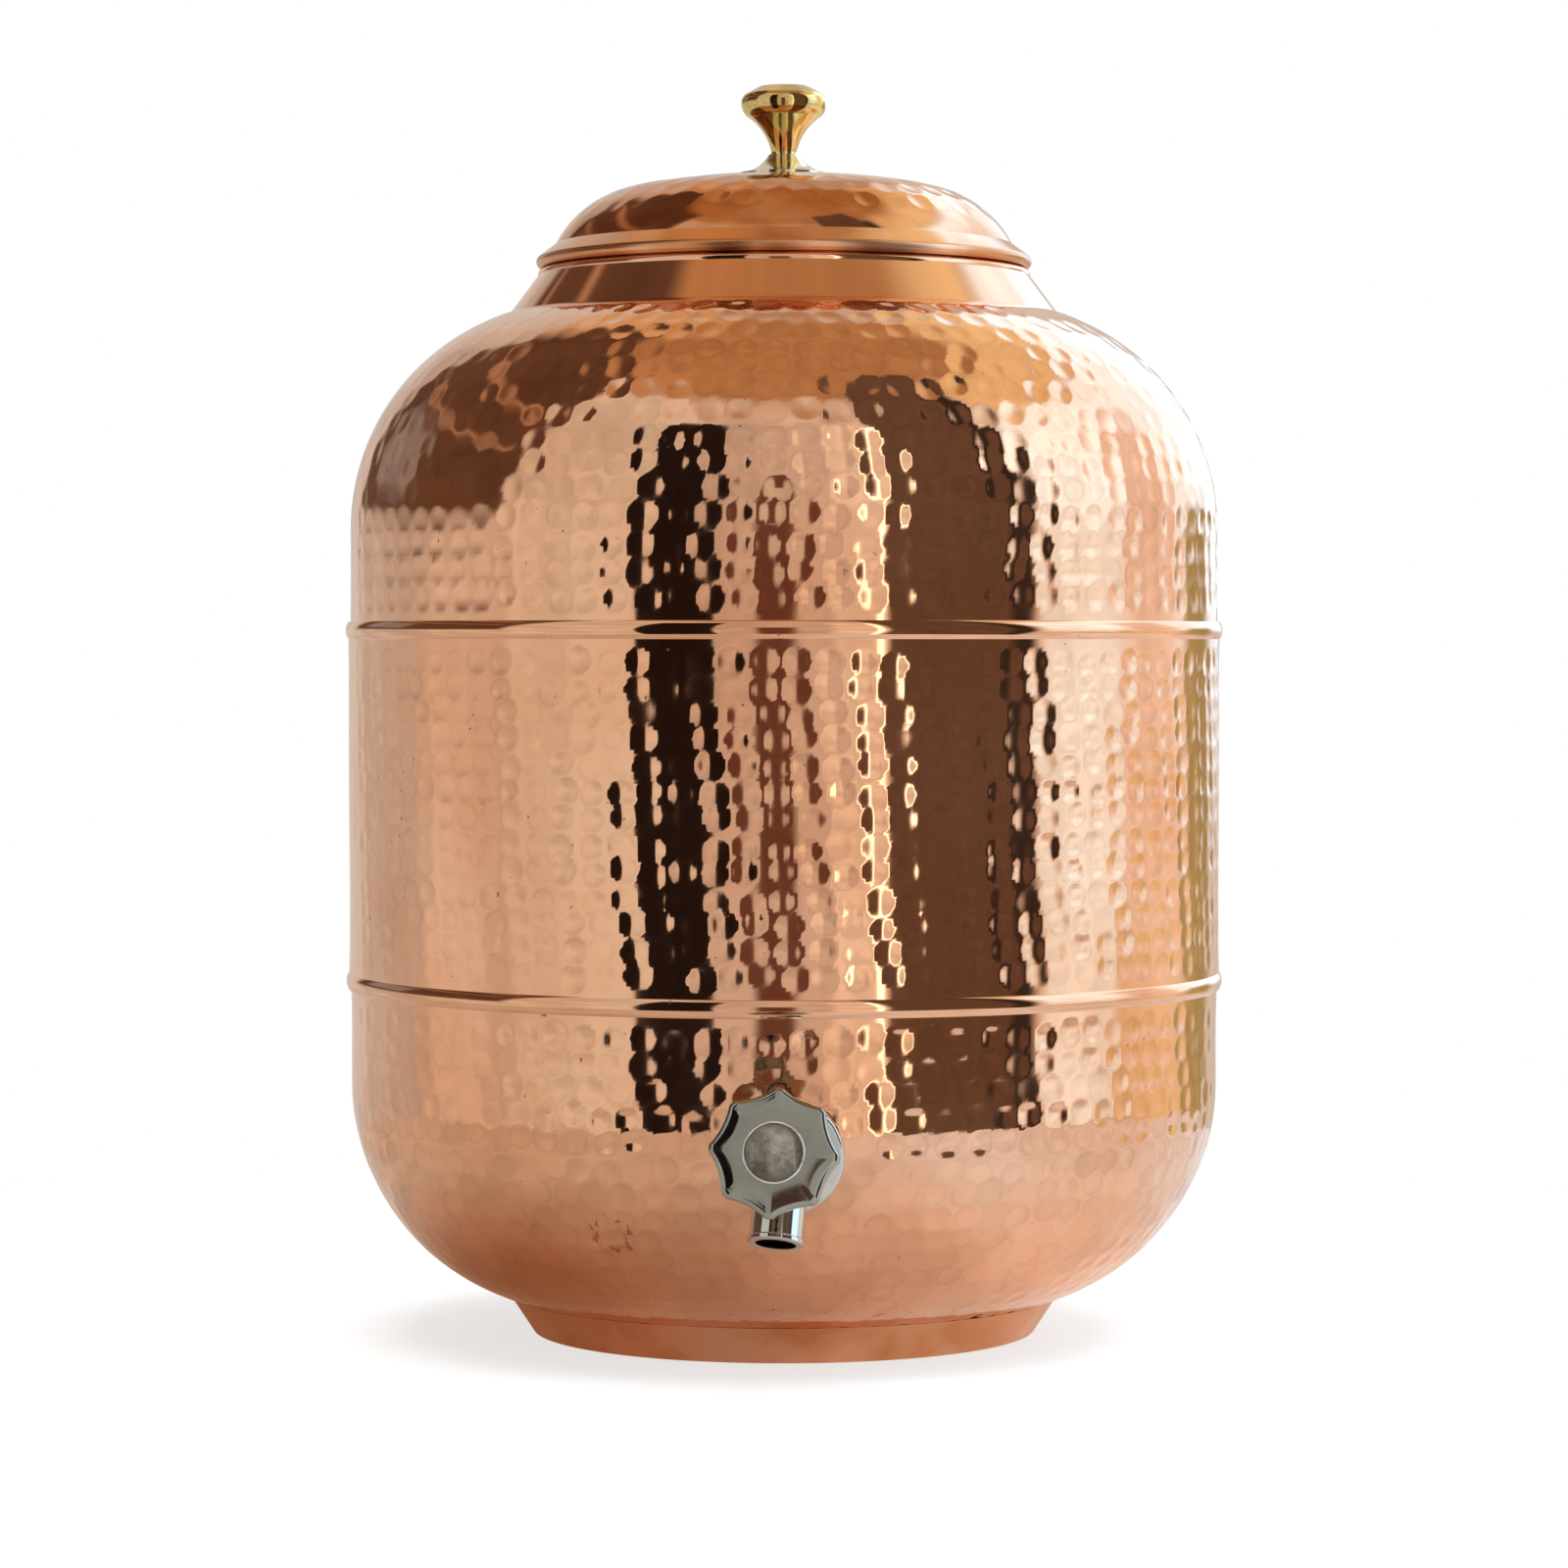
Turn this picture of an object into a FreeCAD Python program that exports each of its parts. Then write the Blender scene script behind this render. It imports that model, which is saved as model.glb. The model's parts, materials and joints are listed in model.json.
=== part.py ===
"""Hammered copper water dispenser with a lift-off lid and a rising-spindle tap.

Millimetres, +Z up. The origin is the centre of the foot ring's bottom edge, and the tap points along -Y.
The sheet named "size" holds the driving dimensions. Round pieces are turned: an outline of radius and
height is revolved about the piece's own Z axis, and a Placement puts that axis along the tank, along the
tap's shank, or along its valve. Threads are plain cylinders.
"""
import FreeCAD, Part
import os
import re
import Sketcher

SIZES = {
    # Tank: a spun bowl and a spun shoulder, lapped inside a rolled band
    "body_radius": 139.8,
    "sheet": 0.8,
    "bowl_arc": 71.8,
    "bowl_top": 80.6,
    "shoulder_arc": 72.2,
    "shoulder_start": 259.2,
    "neck_radius": 88.3,
    "neck_height": 12.2,
    "curl_lift": 0.35,
    "mouth_radius": 76.2,
    "curl_radius": 1.6,
    "band_low": 113.8,
    "band_high": 226.3,
    "band_wall": 0.7,
    "bead_half": 2.8,
    "bead_rise": 0.9,
    "seam_lap": 8.0,
    "cut_overrun": 5.0,
    # Foot ring
    "foot_base_radius": 81.5,
    "foot_top_radius": 88.9,
    "foot_wall": 1.0,
    "foot_flange": 6.4,
    "hem_width": 3.2,
    "hem_height": 2.4,
    # Lid
    "lid_gap": 0.3,
    "lid_bead": 2.15,
    "lid_flange_rise": 5.7,
    "lid_flange_run": 4.1,
    "lid_corner_arc": 35.0,
    "lid_corner_drop": 10.3,
    "crown_arc": 278.0,
    "collar_depth": 16.0,
    "collar_gap": 0.6,
    # Knob on the lid
    "screw_radius": 2.5,
    "knob_base_radius": 14.5,
    "knob_base_height": 6.4,
    "knob_neck_radius": 4.1,
    "knob_radius": 13.8,
    "knob_height": 28.3,
    "knob_screw_reach": 17.0,
    # Tap, fixed pieces
    "tap_height": 70.8,
    "valve_tilt": 12.0,
    "tap_yaw": 4.6,
    "tap_roll": 4.0,
    "spout_lean": 20.0,
    "seat_reach": 18.0,
    "shank_radius": 7.5,
    "shank_bore": 4.6,
    "shank_inside": 14.0,
    "hole_gap": 0.5,
    "gasket_radius": 15.0,
    "gasket_thickness": 3.2,
    "flange_radius": 17.9,
    "flange_plate": 1.5,
    "flange_wall": 1.2,
    "flange_skirt": 2.6,
    "shoulder_ring_radius": 11.5,
    "inner_washer_thickness": 1.2,
    "nut_flats": 24.0,
    "nut_thickness": 6.0,
    "barrel_radius": 10.5,
    "barrel_length": 18.0,
    "barrel_back": 11.0,
    "chamber_radius": 7.5,
    "chamber_length": 11.5,
    "seat_outer_radius": 5.8,
    "seat_lip": 0.8,
    "body_thread_radius": 8.3,
    "spout_start": 4.0,
    "spout_length": 23.0,
    "spout_radius": 7.9,
    "spout_bore": 6.0,
    "spout_lip_radius": 8.3,
    "spout_lip_height": 1.4,
    "spout_lip_bevel": 0.4,
    # Tap, headwork
    "thread_gap": 0.05,
    "running_gap": 0.08,
    "end_gap": 0.3,
    "nut_bevel": 0.6,
    "bonnet_washer_thickness": 1.0,
    "bonnet_flats": 19.0,
    "bonnet_hex_length": 6.5,
    "bonnet_neck_radius": 6.5,
    "bonnet_neck_length": 5.5,
    "packing_radius": 5.15,
    "packing_length": 3.4,
    "gland_flats": 16.0,
    "gland_web": 2.0,
    # Tap, moving pieces
    "lift": 3.0,
    "washer_radius": 5.4,
    "washer_thickness": 2.4,
    "jumper_radius": 5.6,
    "jumper_disc": 1.5,
    "jumper_boss_radius": 3.4,
    "jumper_boss": 3.5,
    "stud_radius": 1.5,
    "stud_nut_flats": 5.5,
    "stud_nut_thickness": 1.6,
    "spindle_tip_radius": 2.0,
    "spindle_thread_radius": 4.0,
    "spindle_thread_length": 12.0,
    "stem_radius": 3.0,
    "drive_square": 4.6,
    "drive_length": 3.6,
    "handle_gap": 3.2,
    "handle_hub_radius": 6.2,
    "handle_hub_length": 3.5,
    "handle_thickness": 6.0,
    "handle_radius": 18.9,
    "handle_valley": 16.8,
    "handle_points": 8,
    "handle_tip_width": 1.6,
    "handle_bevel": 1.4,
    "cap_radius": 8.2,
    "cap_ring_radius": 9.1,
    "cap_ring_rise": 0.6,
    "cap_recess": 3.0,
    "cap_rise": 1.6,
    "handle_web": 1.2,
    "handle_screw_radius": 1.6,
    "handle_screw_head": 3.4,
    "handle_screw_head_height": 2.0,
    "handle_screw_length": 8.0,
}

doc = FreeCAD.newDocument("water_dispenser")
sheet = doc.addObject("Spreadsheet::Sheet", "size")
for row, (alias, value) in enumerate(SIZES.items(), start=1):
    sheet.set(f"A{row}", alias)
    sheet.set(f"B{row}", str(value))
    sheet.setAlias(f"B{row}", alias)
doc.recompute()

# The sketcher's own numbers for its two axes and a circle's centre; the origin is point 1 of either axis
HORIZONTAL_AXIS = -1
VERTICAL_AXIS = -2
CENTRE_POINT = 3


def named(text):
    """An expression in the sheet's terms: each alias gets the sheet's name in front."""
    return re.sub(r"[A-Za-z_]\w*", lambda word: "size." + word[0] if word[0] in SIZES else word[0], text)


def number(text):
    """The present value of an expression."""
    result = sheet.evalExpression(named(text))
    return getattr(result, "Value", result)


# ------------------------------------------------------------------ derived places, as expressions
BOWL_CENTRE = "(body_radius - bowl_arc)"
SHOULDER_CENTRE = "(body_radius - shoulder_arc)"
BAND_RADIUS = "(body_radius + band_wall)"
SKIRT_TOP = "(band_low + bead_half + seam_lap)"
SKIRT_BOTTOM = "(band_high - bead_half - seam_lap)"


def bowl_height(radius, offset="0"):
    """Height of the bowl's outer face at a radius, moved inwards (up) by offset."""
    arc = f"(bowl_arc - {offset})"
    past_flat = f"max(0; {radius} - {BOWL_CENTRE})"
    return f"(bowl_top - sqrt({arc} ^ 2 - {past_flat} ^ 2))"


def shoulder_height(radius, offset="0"):
    """Height of the shoulder's outer face at a radius, moved inwards (down) by offset."""
    arc = f"(shoulder_arc - {offset})"
    return f"(shoulder_start + sqrt({arc} ^ 2 - ({radius} - {SHOULDER_CENTRE}) ^ 2))"


CREASE = shoulder_height("neck_radius")
CURL_CENTRE = "(mouth_radius + curl_radius)"
CURL_HEIGHT = f"({CREASE} + neck_height + curl_lift)"
LID_SEAT = f"({CURL_HEIGHT} + curl_radius + lid_gap)"
LID_BEAD_CENTRE = "(mouth_radius - collar_gap + lid_bead)"
LID_BEAD_HEIGHT = f"({LID_SEAT} + lid_bead)"
LID_WALL_FOOT = f"({LID_BEAD_CENTRE} - lid_flange_run)"
LID_CORNER_HEIGHT = f"({LID_BEAD_HEIGHT} - lid_corner_drop)"
LID_CORNER_RISE = "(lid_flange_rise + lid_corner_drop)"
LID_CORNER_CENTRE = f"({LID_WALL_FOOT} - sqrt(lid_corner_arc ^ 2 - {LID_CORNER_RISE} ^ 2))"
CROWN_DROP = f"sqrt((crown_arc - lid_corner_arc) ^ 2 - {LID_CORNER_CENTRE} ^ 2)"
CROWN_CENTRE = f"({LID_CORNER_HEIGHT} - {CROWN_DROP})"
CROWN_TOP = f"({CROWN_CENTRE} + crown_arc)"
# Unit direction from the crown's centre to the corner's centre, where the two arcs join
CROWN_OUT = f"({LID_CORNER_CENTRE} / (crown_arc - lid_corner_arc))"
CROWN_UP = f"({CROWN_DROP} / (crown_arc - lid_corner_arc))"


def crown_height(radius, offset="0"):
    """Height of the lid's crown at a radius, moved inwards (down) by offset."""
    return f"({CROWN_CENTRE} + sqrt((crown_arc - {offset}) ^ 2 - ({radius}) ^ 2))"


# Tap: the shank is square to the wall, and the valve's axis crosses it at the seat
TAP_SLOPE = "asin((bowl_top - tap_height) / bowl_arc)"
WALL_AT_TAP = f"({BOWL_CENTRE} + bowl_arc * cos({TAP_SLOPE}))"
SEAT_Y = f"(0 - {WALL_AT_TAP} - seat_reach * cos({TAP_SLOPE}))"
SEAT_Z = f"(tap_height - seat_reach * sin({TAP_SLOPE}))"
SHANK_TURN = f"(90deg + {TAP_SLOPE})"
VALVE_TURN = "(90deg - valve_tilt * 1deg)"
SPOUT_TURN = "(180deg - spout_lean * 1deg)"
SPOUT_Y = "(0 - spout_start * cos(valve_tilt * 1deg))"
SPOUT_Z = "(spout_start * sin(valve_tilt * 1deg))"
# The casting stands a little askew on its shank: yawed about +Z and rolled about +Y, through the seat
YAW = "rotation(vector(0; 0; 1); 0deg - tap_yaw * 1deg)"
ROLL = "rotation(vector(0; 1; 0); tap_roll * 1deg)"
SEAT_FRAME = f"placement(vector(0; {SEAT_Y}; {SEAT_Z}); {YAW} * {ROLL})"


# ------------------------------------------------------------------ ways of making a piece
def place(piece, where):
    """Bind a piece's Placement to an expression."""
    piece.setExpression("Placement", named(where))
    return piece


def on_shank(piece):
    """Local Z runs outwards along the tap's shank, with the valve's seat at 0."""
    turn = f"rotation(vector(1; 0; 0); {SHANK_TURN})"
    return place(piece, f"placement(vector(0; {SEAT_Y}; {SEAT_Z}); {turn})")


def on_valve(piece):
    """Local Z runs outwards along the valve's axis, with the valve's seat at 0."""
    turn = f"rotation(vector(1; 0; 0); {VALVE_TURN})"
    return place(piece, f"{SEAT_FRAME} * placement(vector(0; 0; 0); {turn})")


def on_spout(piece):
    """Local Z runs down the spout, from its crossing with the valve's axis."""
    turn = f"rotation(vector(1; 0; 0); {SPOUT_TURN})"
    return place(piece, f"{SEAT_FRAME} * placement(vector(0; {SPOUT_Y}; {SPOUT_Z}); {turn})")


def outline(body, name, points, plane="XZ_Plane", height=None):
    """A closed sketch on one of the body's own planes.

    Each point is two expressions. A third expression is the radius of an arc that runs to the next point,
    and a fourth, -1, turns that arc clockwise instead of anticlockwise.
    """
    sketch = body.newObject("Sketcher::SketchObject", name)
    base = next(part for part in body.Origin.OriginFeatures if part.Role == plane)
    sketch.AttachmentSupport = [(base, "")]
    sketch.MapMode = "FlatFace"
    if height:
        sketch.setExpression("AttachmentOffset.Base.z", named(height))
    at = [FreeCAD.Vector(number(point[0]), number(point[1]), 0) for point in points]
    for index, point in enumerate(points):
        start = at[index]
        end = at[(index + 1) % len(at)]
        if len(point) == 2:
            sketch.addGeometry(Part.LineSegment(start, end), False)
            continue
        radius = number(point[2])
        way = -1 if len(point) == 4 else 1
        chord = end - start
        middle = (start + end) * 0.5
        across = FreeCAD.Vector(-chord.y, chord.x, 0).normalize()
        reach = max(radius ** 2 - (chord.Length / 2) ** 2, 0) ** 0.5
        centre = middle + across * reach * way
        belly = centre - across * radius * way
        first, last = (start, end) if way > 0 else (end, start)
        sketch.addGeometry(Part.Arc(first, belly, last), False)
    ends = arc_ends(sketch, at)
    for index, point in enumerate(points):
        following = (index + 1) % len(points)
        sketch.addConstraint(Sketcher.Constraint("Coincident", index, ends[index][1],
                                                 following, ends[following][0]))
        fix_point(sketch, index, ends[index][0], point)
    for index, point in enumerate(points):
        if len(point) > 2:
            made = sketch.addConstraint(Sketcher.Constraint("Radius", index, number(point[2])))
            sketch.setExpression(f"Constraints[{made}]", named(point[2]))
    return sketch


def arc_ends(sketch, at):
    """For each edge, which of its two ends, 1 or 2, is its start and which is its finish."""
    ends = []
    for index, edge in enumerate(sketch.Geometry):
        forward = (edge.StartPoint - at[index]).Length <= (edge.EndPoint - at[index]).Length
        ends.append((1, 2) if forward else (2, 1))
    return ends


def fix_point(sketch, index, end, point):
    """Tie one corner of a sketch to its two expressions."""
    ways = (("DistanceX", VERTICAL_AXIS), ("DistanceY", HORIZONTAL_AXIS))
    for (kind, axis), text in zip(ways, point):
        if text == "0":
            sketch.addConstraint(Sketcher.Constraint("PointOnObject", index, end, axis))
            continue
        made = sketch.addConstraint(Sketcher.Constraint(kind, HORIZONTAL_AXIS, 1, index, end, number(text)))
        sketch.setExpression(f"Constraints[{made}]", named(text))


def turned(name, points):
    """A body whose outline of (radius, height) points is revolved about its own Z axis."""
    body = doc.addObject("PartDesign::Body", name)
    sketch = outline(body, name + "_outline", points)
    spin = body.newObject("PartDesign::Revolution", name + "_turned")
    spin.Profile = sketch
    spin.ReferenceAxis = (sketch, ["V_Axis"])
    spin.Angle = 360
    doc.recompute()
    return body


def ring(name, inner, outer, low, high):
    """A plain turned ring, or a disc where inner is "0"."""
    return turned(name, [(inner, low), (outer, low), (outer, high), (inner, high)])


def hexagon(name, flats, low, high):
    """A hexagonal prism on the local Z axis, given across its flats."""
    prism = doc.addObject("Part::Prism", name)
    prism.Polygon = 6
    prism.setExpression("Circumradius", named(f"{flats} / sqrt(3)"))
    prism.setExpression("Height", named(f"{high} - ({low})"))
    return prism


def combine(kind, name, base, tool):
    """A Part::Cut, Part::Fuse or Part::Common of two objects."""
    result = doc.addObject(kind, name)
    result.Base = base
    result.Tool = tool
    doc.recompute()
    return result


SUBPARTS = []


def finish(piece, label):
    """Name a finished sub-part: its Label becomes its file's name."""
    piece.Label = label
    SUBPARTS.append(piece)


# ------------------------------------------------------------------ tank
def foot_ring():
    """A flared ring with a folded hem below and a narrow flange soldered under the bowl."""
    flange = "(foot_top_radius - foot_flange)"
    inner_top = "(foot_top_radius - foot_wall * 1.5)"
    inner_base = "(foot_base_radius - foot_wall)"
    hem = "(foot_base_radius - hem_width)"
    return turned("foot_ring", [
        (hem, "0"),
        ("foot_base_radius", "0"),
        ("foot_top_radius", bowl_height("foot_top_radius"), "bowl_arc", "-1"),
        (flange, bowl_height(flange)),
        (flange, f"({bowl_height(flange)} - foot_wall)"),
        (inner_top, f"({bowl_height(inner_top)} - foot_wall)"),
        (inner_base, "hem_height"),
        (hem, "hem_height")])


def bowl_shell():
    """The spun bowl: flat bottom, round corner and a plain skirt that laps inside the band."""
    inside = "(body_radius - sheet)"
    low = "(bowl_top - bowl_arc)"
    return turned("bowl_shell", [
        ("0", low),
        (BOWL_CENTRE, low, "bowl_arc"),
        ("body_radius", "bowl_top"),
        ("body_radius", SKIRT_TOP),
        (inside, SKIRT_TOP),
        (inside, "bowl_top", "(bowl_arc - sheet)", "-1"),
        (BOWL_CENTRE, f"({low} + sheet)"),
        ("0", f"({low} + sheet)")])


def bowl_envelope(name, offset):
    """The filled space within the bowl's wall beside the tap, offset inwards."""
    low = "(tap_height - flange_radius * 2)"
    radius = f"({BOWL_CENTRE} + sqrt((bowl_arc - {offset}) ^ 2 - (bowl_top - {low}) ^ 2))"
    return turned(name, [
        ("0", low),
        (radius, low, f"(bowl_arc - {offset})"),
        (f"(body_radius - {offset})", "bowl_top"),
        (f"(body_radius - {offset})", "band_low"),
        ("0", "band_low")])


def wall_band():
    """The rolled middle band, with a swaged bead along each edge over the lapped seams."""
    chord = "bead_half"
    outer_arc = f"(({chord} ^ 2 + bead_rise ^ 2) / (2 * bead_rise))"
    inner_arc = f"({outer_arc} - band_wall)"
    inner_half = "(bead_half - band_wall)"
    inner_rise = f"({inner_arc} - sqrt({inner_arc} ^ 2 - {inner_half} ^ 2))"
    crest = f"({BAND_RADIUS} + bead_rise)"
    inner_crest = f"(body_radius + {inner_rise})"
    return turned("wall_band", [
        ("body_radius", "(band_low - bead_half)"),
        (BAND_RADIUS, "(band_low - bead_half)", outer_arc),
        (crest, "band_low", outer_arc),
        (BAND_RADIUS, "(band_low + bead_half)"),
        (BAND_RADIUS, "(band_high - bead_half)", outer_arc),
        (crest, "band_high", outer_arc),
        (BAND_RADIUS, "(band_high + bead_half)"),
        ("body_radius", "(band_high + bead_half)"),
        ("body_radius", f"(band_high + {inner_half})", inner_arc, "-1"),
        (inner_crest, "band_high", inner_arc, "-1"),
        ("body_radius", f"(band_high - {inner_half})"),
        ("body_radius", f"(band_low + {inner_half})", inner_arc, "-1"),
        (inner_crest, "band_low", inner_arc, "-1"),
        ("body_radius", f"(band_low - {inner_half})")])


def shoulder_shell():
    """The spun shoulder: skirt, dome, crease, conical neck and the mouth's curled edge."""
    inside = "(body_radius - sheet)"
    curl_out = f"({CURL_CENTRE} + curl_radius)"
    inner_crease = "(neck_radius - sheet)"
    neck_top = f"({CREASE} + neck_height)"
    return turned("shoulder_shell", [
        (inside, SKIRT_BOTTOM),
        ("body_radius", SKIRT_BOTTOM),
        ("body_radius", "shoulder_start", "shoulder_arc"),
        ("neck_radius", CREASE),
        (curl_out, neck_top),
        (curl_out, CURL_HEIGHT, "curl_radius"),
        (CURL_CENTRE, f"({CURL_HEIGHT} + curl_radius)", "curl_radius"),
        ("mouth_radius", CURL_HEIGHT, "curl_radius"),
        (CURL_CENTRE, f"({CURL_HEIGHT} - curl_radius)"),
        (f"({CURL_CENTRE} + sheet / 2)", f"({neck_top} - curl_radius)"),
        (inner_crease, f"({shoulder_height(inner_crease, 'sheet')} + sheet / 2)"),
        (inner_crease, shoulder_height(inner_crease, "sheet"), "(shoulder_arc - sheet)", "-1"),
        (inside, "shoulder_start")])


# ------------------------------------------------------------------ lid
def lid_shell():
    """The spun lid: crown, rounded corner, sloping flange and a rolled bead at its edge."""
    inner_corner = "(lid_corner_arc - sheet)"
    inner_crown = "(crown_arc - sheet)"
    bead_out = f"({LID_BEAD_CENTRE} + lid_bead)"
    bead_top_r = f"({LID_BEAD_CENTRE} + lid_bead * 0.6)"
    bead_top_z = f"({LID_BEAD_HEIGHT} + lid_bead * 0.8)"
    bead_in = f"({LID_BEAD_CENTRE} - lid_bead)"
    wall_foot_z = f"({LID_BEAD_HEIGHT} + lid_flange_rise)"
    inner_wall = f"({LID_CORNER_CENTRE} + sqrt({inner_corner} ^ 2 - {LID_CORNER_RISE} ^ 2))"
    return turned("lid_spinning", [
        ("0", f"({CROWN_TOP} - sheet)"),
        ("0", CROWN_TOP, "crown_arc", "-1"),
        (f"(crown_arc * {CROWN_OUT})", f"({CROWN_CENTRE} + crown_arc * {CROWN_UP})",
         "lid_corner_arc", "-1"),
        (LID_WALL_FOOT, wall_foot_z),
        (bead_top_r, bead_top_z, "lid_bead", "-1"),
        (bead_out, LID_BEAD_HEIGHT, "lid_bead", "-1"),
        (LID_BEAD_CENTRE, LID_SEAT, "lid_bead", "-1"),
        (bead_in, LID_BEAD_HEIGHT),
        (inner_wall, wall_foot_z, inner_corner),
        (f"({inner_crown} * {CROWN_OUT})", f"({CROWN_CENTRE} + {inner_crown} * {CROWN_UP})",
         inner_crown)])


def lid_collar():
    """The ring inside the lid that drops into the mouth and keeps the lid centred."""
    outer = "(mouth_radius - collar_gap)"
    inner = f"({outer} - sheet)"
    top = LID_BEAD_HEIGHT
    return ring("lid_collar", inner, outer, f"({LID_SEAT} - collar_depth)", top)


def knob_base():
    """The flared foot of the knob, seated on the crown, with a hole for the screw."""
    hole = "(screw_radius + hole_gap)"
    flare_arc = "(knob_base_height * 1.9)"
    top = f"({CROWN_TOP} + knob_base_height)"
    edge = f"({crown_height('knob_base_radius')} + sheet)"
    return turned("knob_base", [
        (hole, crown_height(hole), "crown_arc", "-1"),
        ("knob_base_radius", crown_height("knob_base_radius")),
        ("knob_base_radius", edge, flare_arc, "-1"),
        ("(knob_neck_radius + sheet)", top),
        (hole, top)])


def knob():
    """The turned brass knob: slim neck, trumpet flare, rounded rim and a shallow flat top."""
    low = f"({CROWN_TOP} + knob_base_height)"
    rim = f"({CROWN_TOP} + knob_height * 0.8)"
    top = f"({CROWN_TOP} + knob_height)"
    under = f"({rim} - knob_height * 0.16)"
    under_edge = "(knob_radius * 0.8)"
    upper_edge = "(knob_radius * 0.9)"
    upper = f"({top} - knob_height * 0.085)"
    flat_edge = "(knob_radius * 0.57)"
    flare_arc = "(knob_radius * 1.3)"
    under_arc = "(knob_radius * 0.4)"
    rim_arc = "(knob_radius * 0.25)"
    hole_top = f"({CROWN_TOP} + knob_screw_reach)"
    return turned("knob", [
        ("screw_radius", low),
        ("knob_neck_radius", low),
        ("knob_neck_radius", f"({low} + sheet)", flare_arc, "-1"),
        (under_edge, under, under_arc),
        ("knob_radius", rim, rim_arc),
        (upper_edge, upper),
        (flat_edge, top),
        ("0", top),
        ("0", hole_top),
        ("screw_radius", hole_top)])


SCREW_WASHER_RADIUS = "(screw_radius * 2.4)"


def knob_washer():
    """The flat washer under the crown, low enough for its outer edge to clear the curved sheet."""
    top = crown_height(SCREW_WASHER_RADIUS, "sheet")
    return ring("knob_washer", "(screw_radius + hole_gap)", SCREW_WASHER_RADIUS, f"({top} - sheet)", top)


def knob_screw():
    """The pan-head screw that holds the knob from inside the lid."""
    head = "(screw_radius * 1.9)"
    head_flat = "(screw_radius * 1.5)"
    head_arc = "(screw_radius * 1.4)"
    seat = f"({crown_height(SCREW_WASHER_RADIUS, 'sheet')} - sheet)"
    head_low = f"({seat} - screw_radius * 1.3)"
    socket = "(screw_radius * 0.8)"
    socket_top = f"({head_low} + screw_radius * 0.7)"
    tip = f"({CROWN_TOP} + knob_screw_reach - end_gap)"
    return turned("knob_screw", [
        ("0", socket_top),
        (socket, socket_top),
        (socket, head_low),
        (head_flat, head_low, head_arc),
        (head, seat),
        ("screw_radius", seat),
        ("screw_radius", tip),
        ("0", tip)])


def lid_with_hole():
    """The lid shell with the knob screw's hole through its crown."""
    low = f"({CROWN_TOP} - cut_overrun)"
    hole = ring("lid_hole", "0", "(screw_radius + hole_gap)", low, f"({CROWN_TOP} + cut_overrun)")
    return combine("Part::Cut", "lid_shell_cut", lid_shell(), hole)


# ------------------------------------------------------------------ tap, along its shank
WALL_OUT = "(0 - seat_reach)"
FLANGE_BACK = f"({WALL_OUT} + gasket_thickness)"
FLANGE_FRONT = f"({FLANGE_BACK} + flange_plate)"
INNER_FACE = f"({WALL_OUT} - sheet - gasket_thickness)"
WASHER_BACK = f"({INNER_FACE} - inner_washer_thickness)"
NUT_BACK = f"({WASHER_BACK} - nut_thickness)"
SHANK_END = f"({INNER_FACE} - shank_inside)"
HOLE_RADIUS = "(shank_radius + hole_gap)"


def base_bowl():
    """The bowl with the tap's hole drilled square to its wall."""
    drill = on_shank(ring("tap_drill", "0", HOLE_RADIUS, f"({WALL_OUT} * 2)", f"({WALL_OUT} / 4)"))
    return combine("Part::Cut", "base_bowl_cut", bowl_shell(), drill)


def tap_flange():
    """The cup-shaped cover plate that hides the outer gasket."""
    rounding = "(flange_plate * 0.8)"
    skirt_inner = "(flange_radius - flange_wall)"
    skirt_low = f"({FLANGE_BACK} - flange_skirt)"
    return on_shank(turned("tap_flange", [
        (HOLE_RADIUS, FLANGE_BACK),
        (skirt_inner, FLANGE_BACK),
        (skirt_inner, skirt_low),
        ("flange_radius", skirt_low),
        ("flange_radius", f"({FLANGE_FRONT} - {rounding})", rounding),
        (f"(flange_radius - {rounding})", FLANGE_FRONT),
        (HOLE_RADIUS, FLANGE_FRONT)]))


def outer_gasket():
    """The soft ring under the cover plate, moulded to the wall's outside."""
    blank = on_shank(ring("outer_gasket_blank", "(shank_radius + thread_gap)", "gasket_radius",
                          f"({WALL_OUT} - gasket_thickness)", FLANGE_BACK))
    return combine("Part::Cut", "outer_gasket_cut", blank, bowl_envelope("bowl_outside", "0"))


def inner_gasket():
    """The soft ring inside the tank, moulded to the wall's inside."""
    blank = on_shank(ring("inner_gasket_blank", "(shank_radius + thread_gap)", "gasket_radius",
                          INNER_FACE, "(0 - seat_reach / 2)"))
    return combine("Part::Common", "inner_gasket_cut", blank, bowl_envelope("bowl_inside", "sheet"))


def inner_washer():
    """The metal washer between the inner gasket and the nut."""
    return on_shank(ring("inner_washer", HOLE_RADIUS, "gasket_radius", WASHER_BACK, INNER_FACE))


def lift(piece, height):
    """Slide a primitive along its own Z by a height, before its group is placed."""
    piece.Placement.Base.z = number(height)
    piece.setExpression("Placement.Base.z", named(height))
    return piece


def hex_piece(name, flats, low, high, turned_part, hex_low, hex_high):
    """A turned piece whose length from hex_low to hex_high is cut to a hexagon across its flats."""
    prism = lift(hexagon(name + "_hex", flats, hex_low, hex_high), hex_low)
    sleeve = ring(name + "_sleeve", "0", f"({flats})", hex_low, hex_high)
    waste = combine("Part::Cut", name + "_waste", sleeve, prism)
    return combine("Part::Cut", name + "_cut", turned_part, waste)


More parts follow.
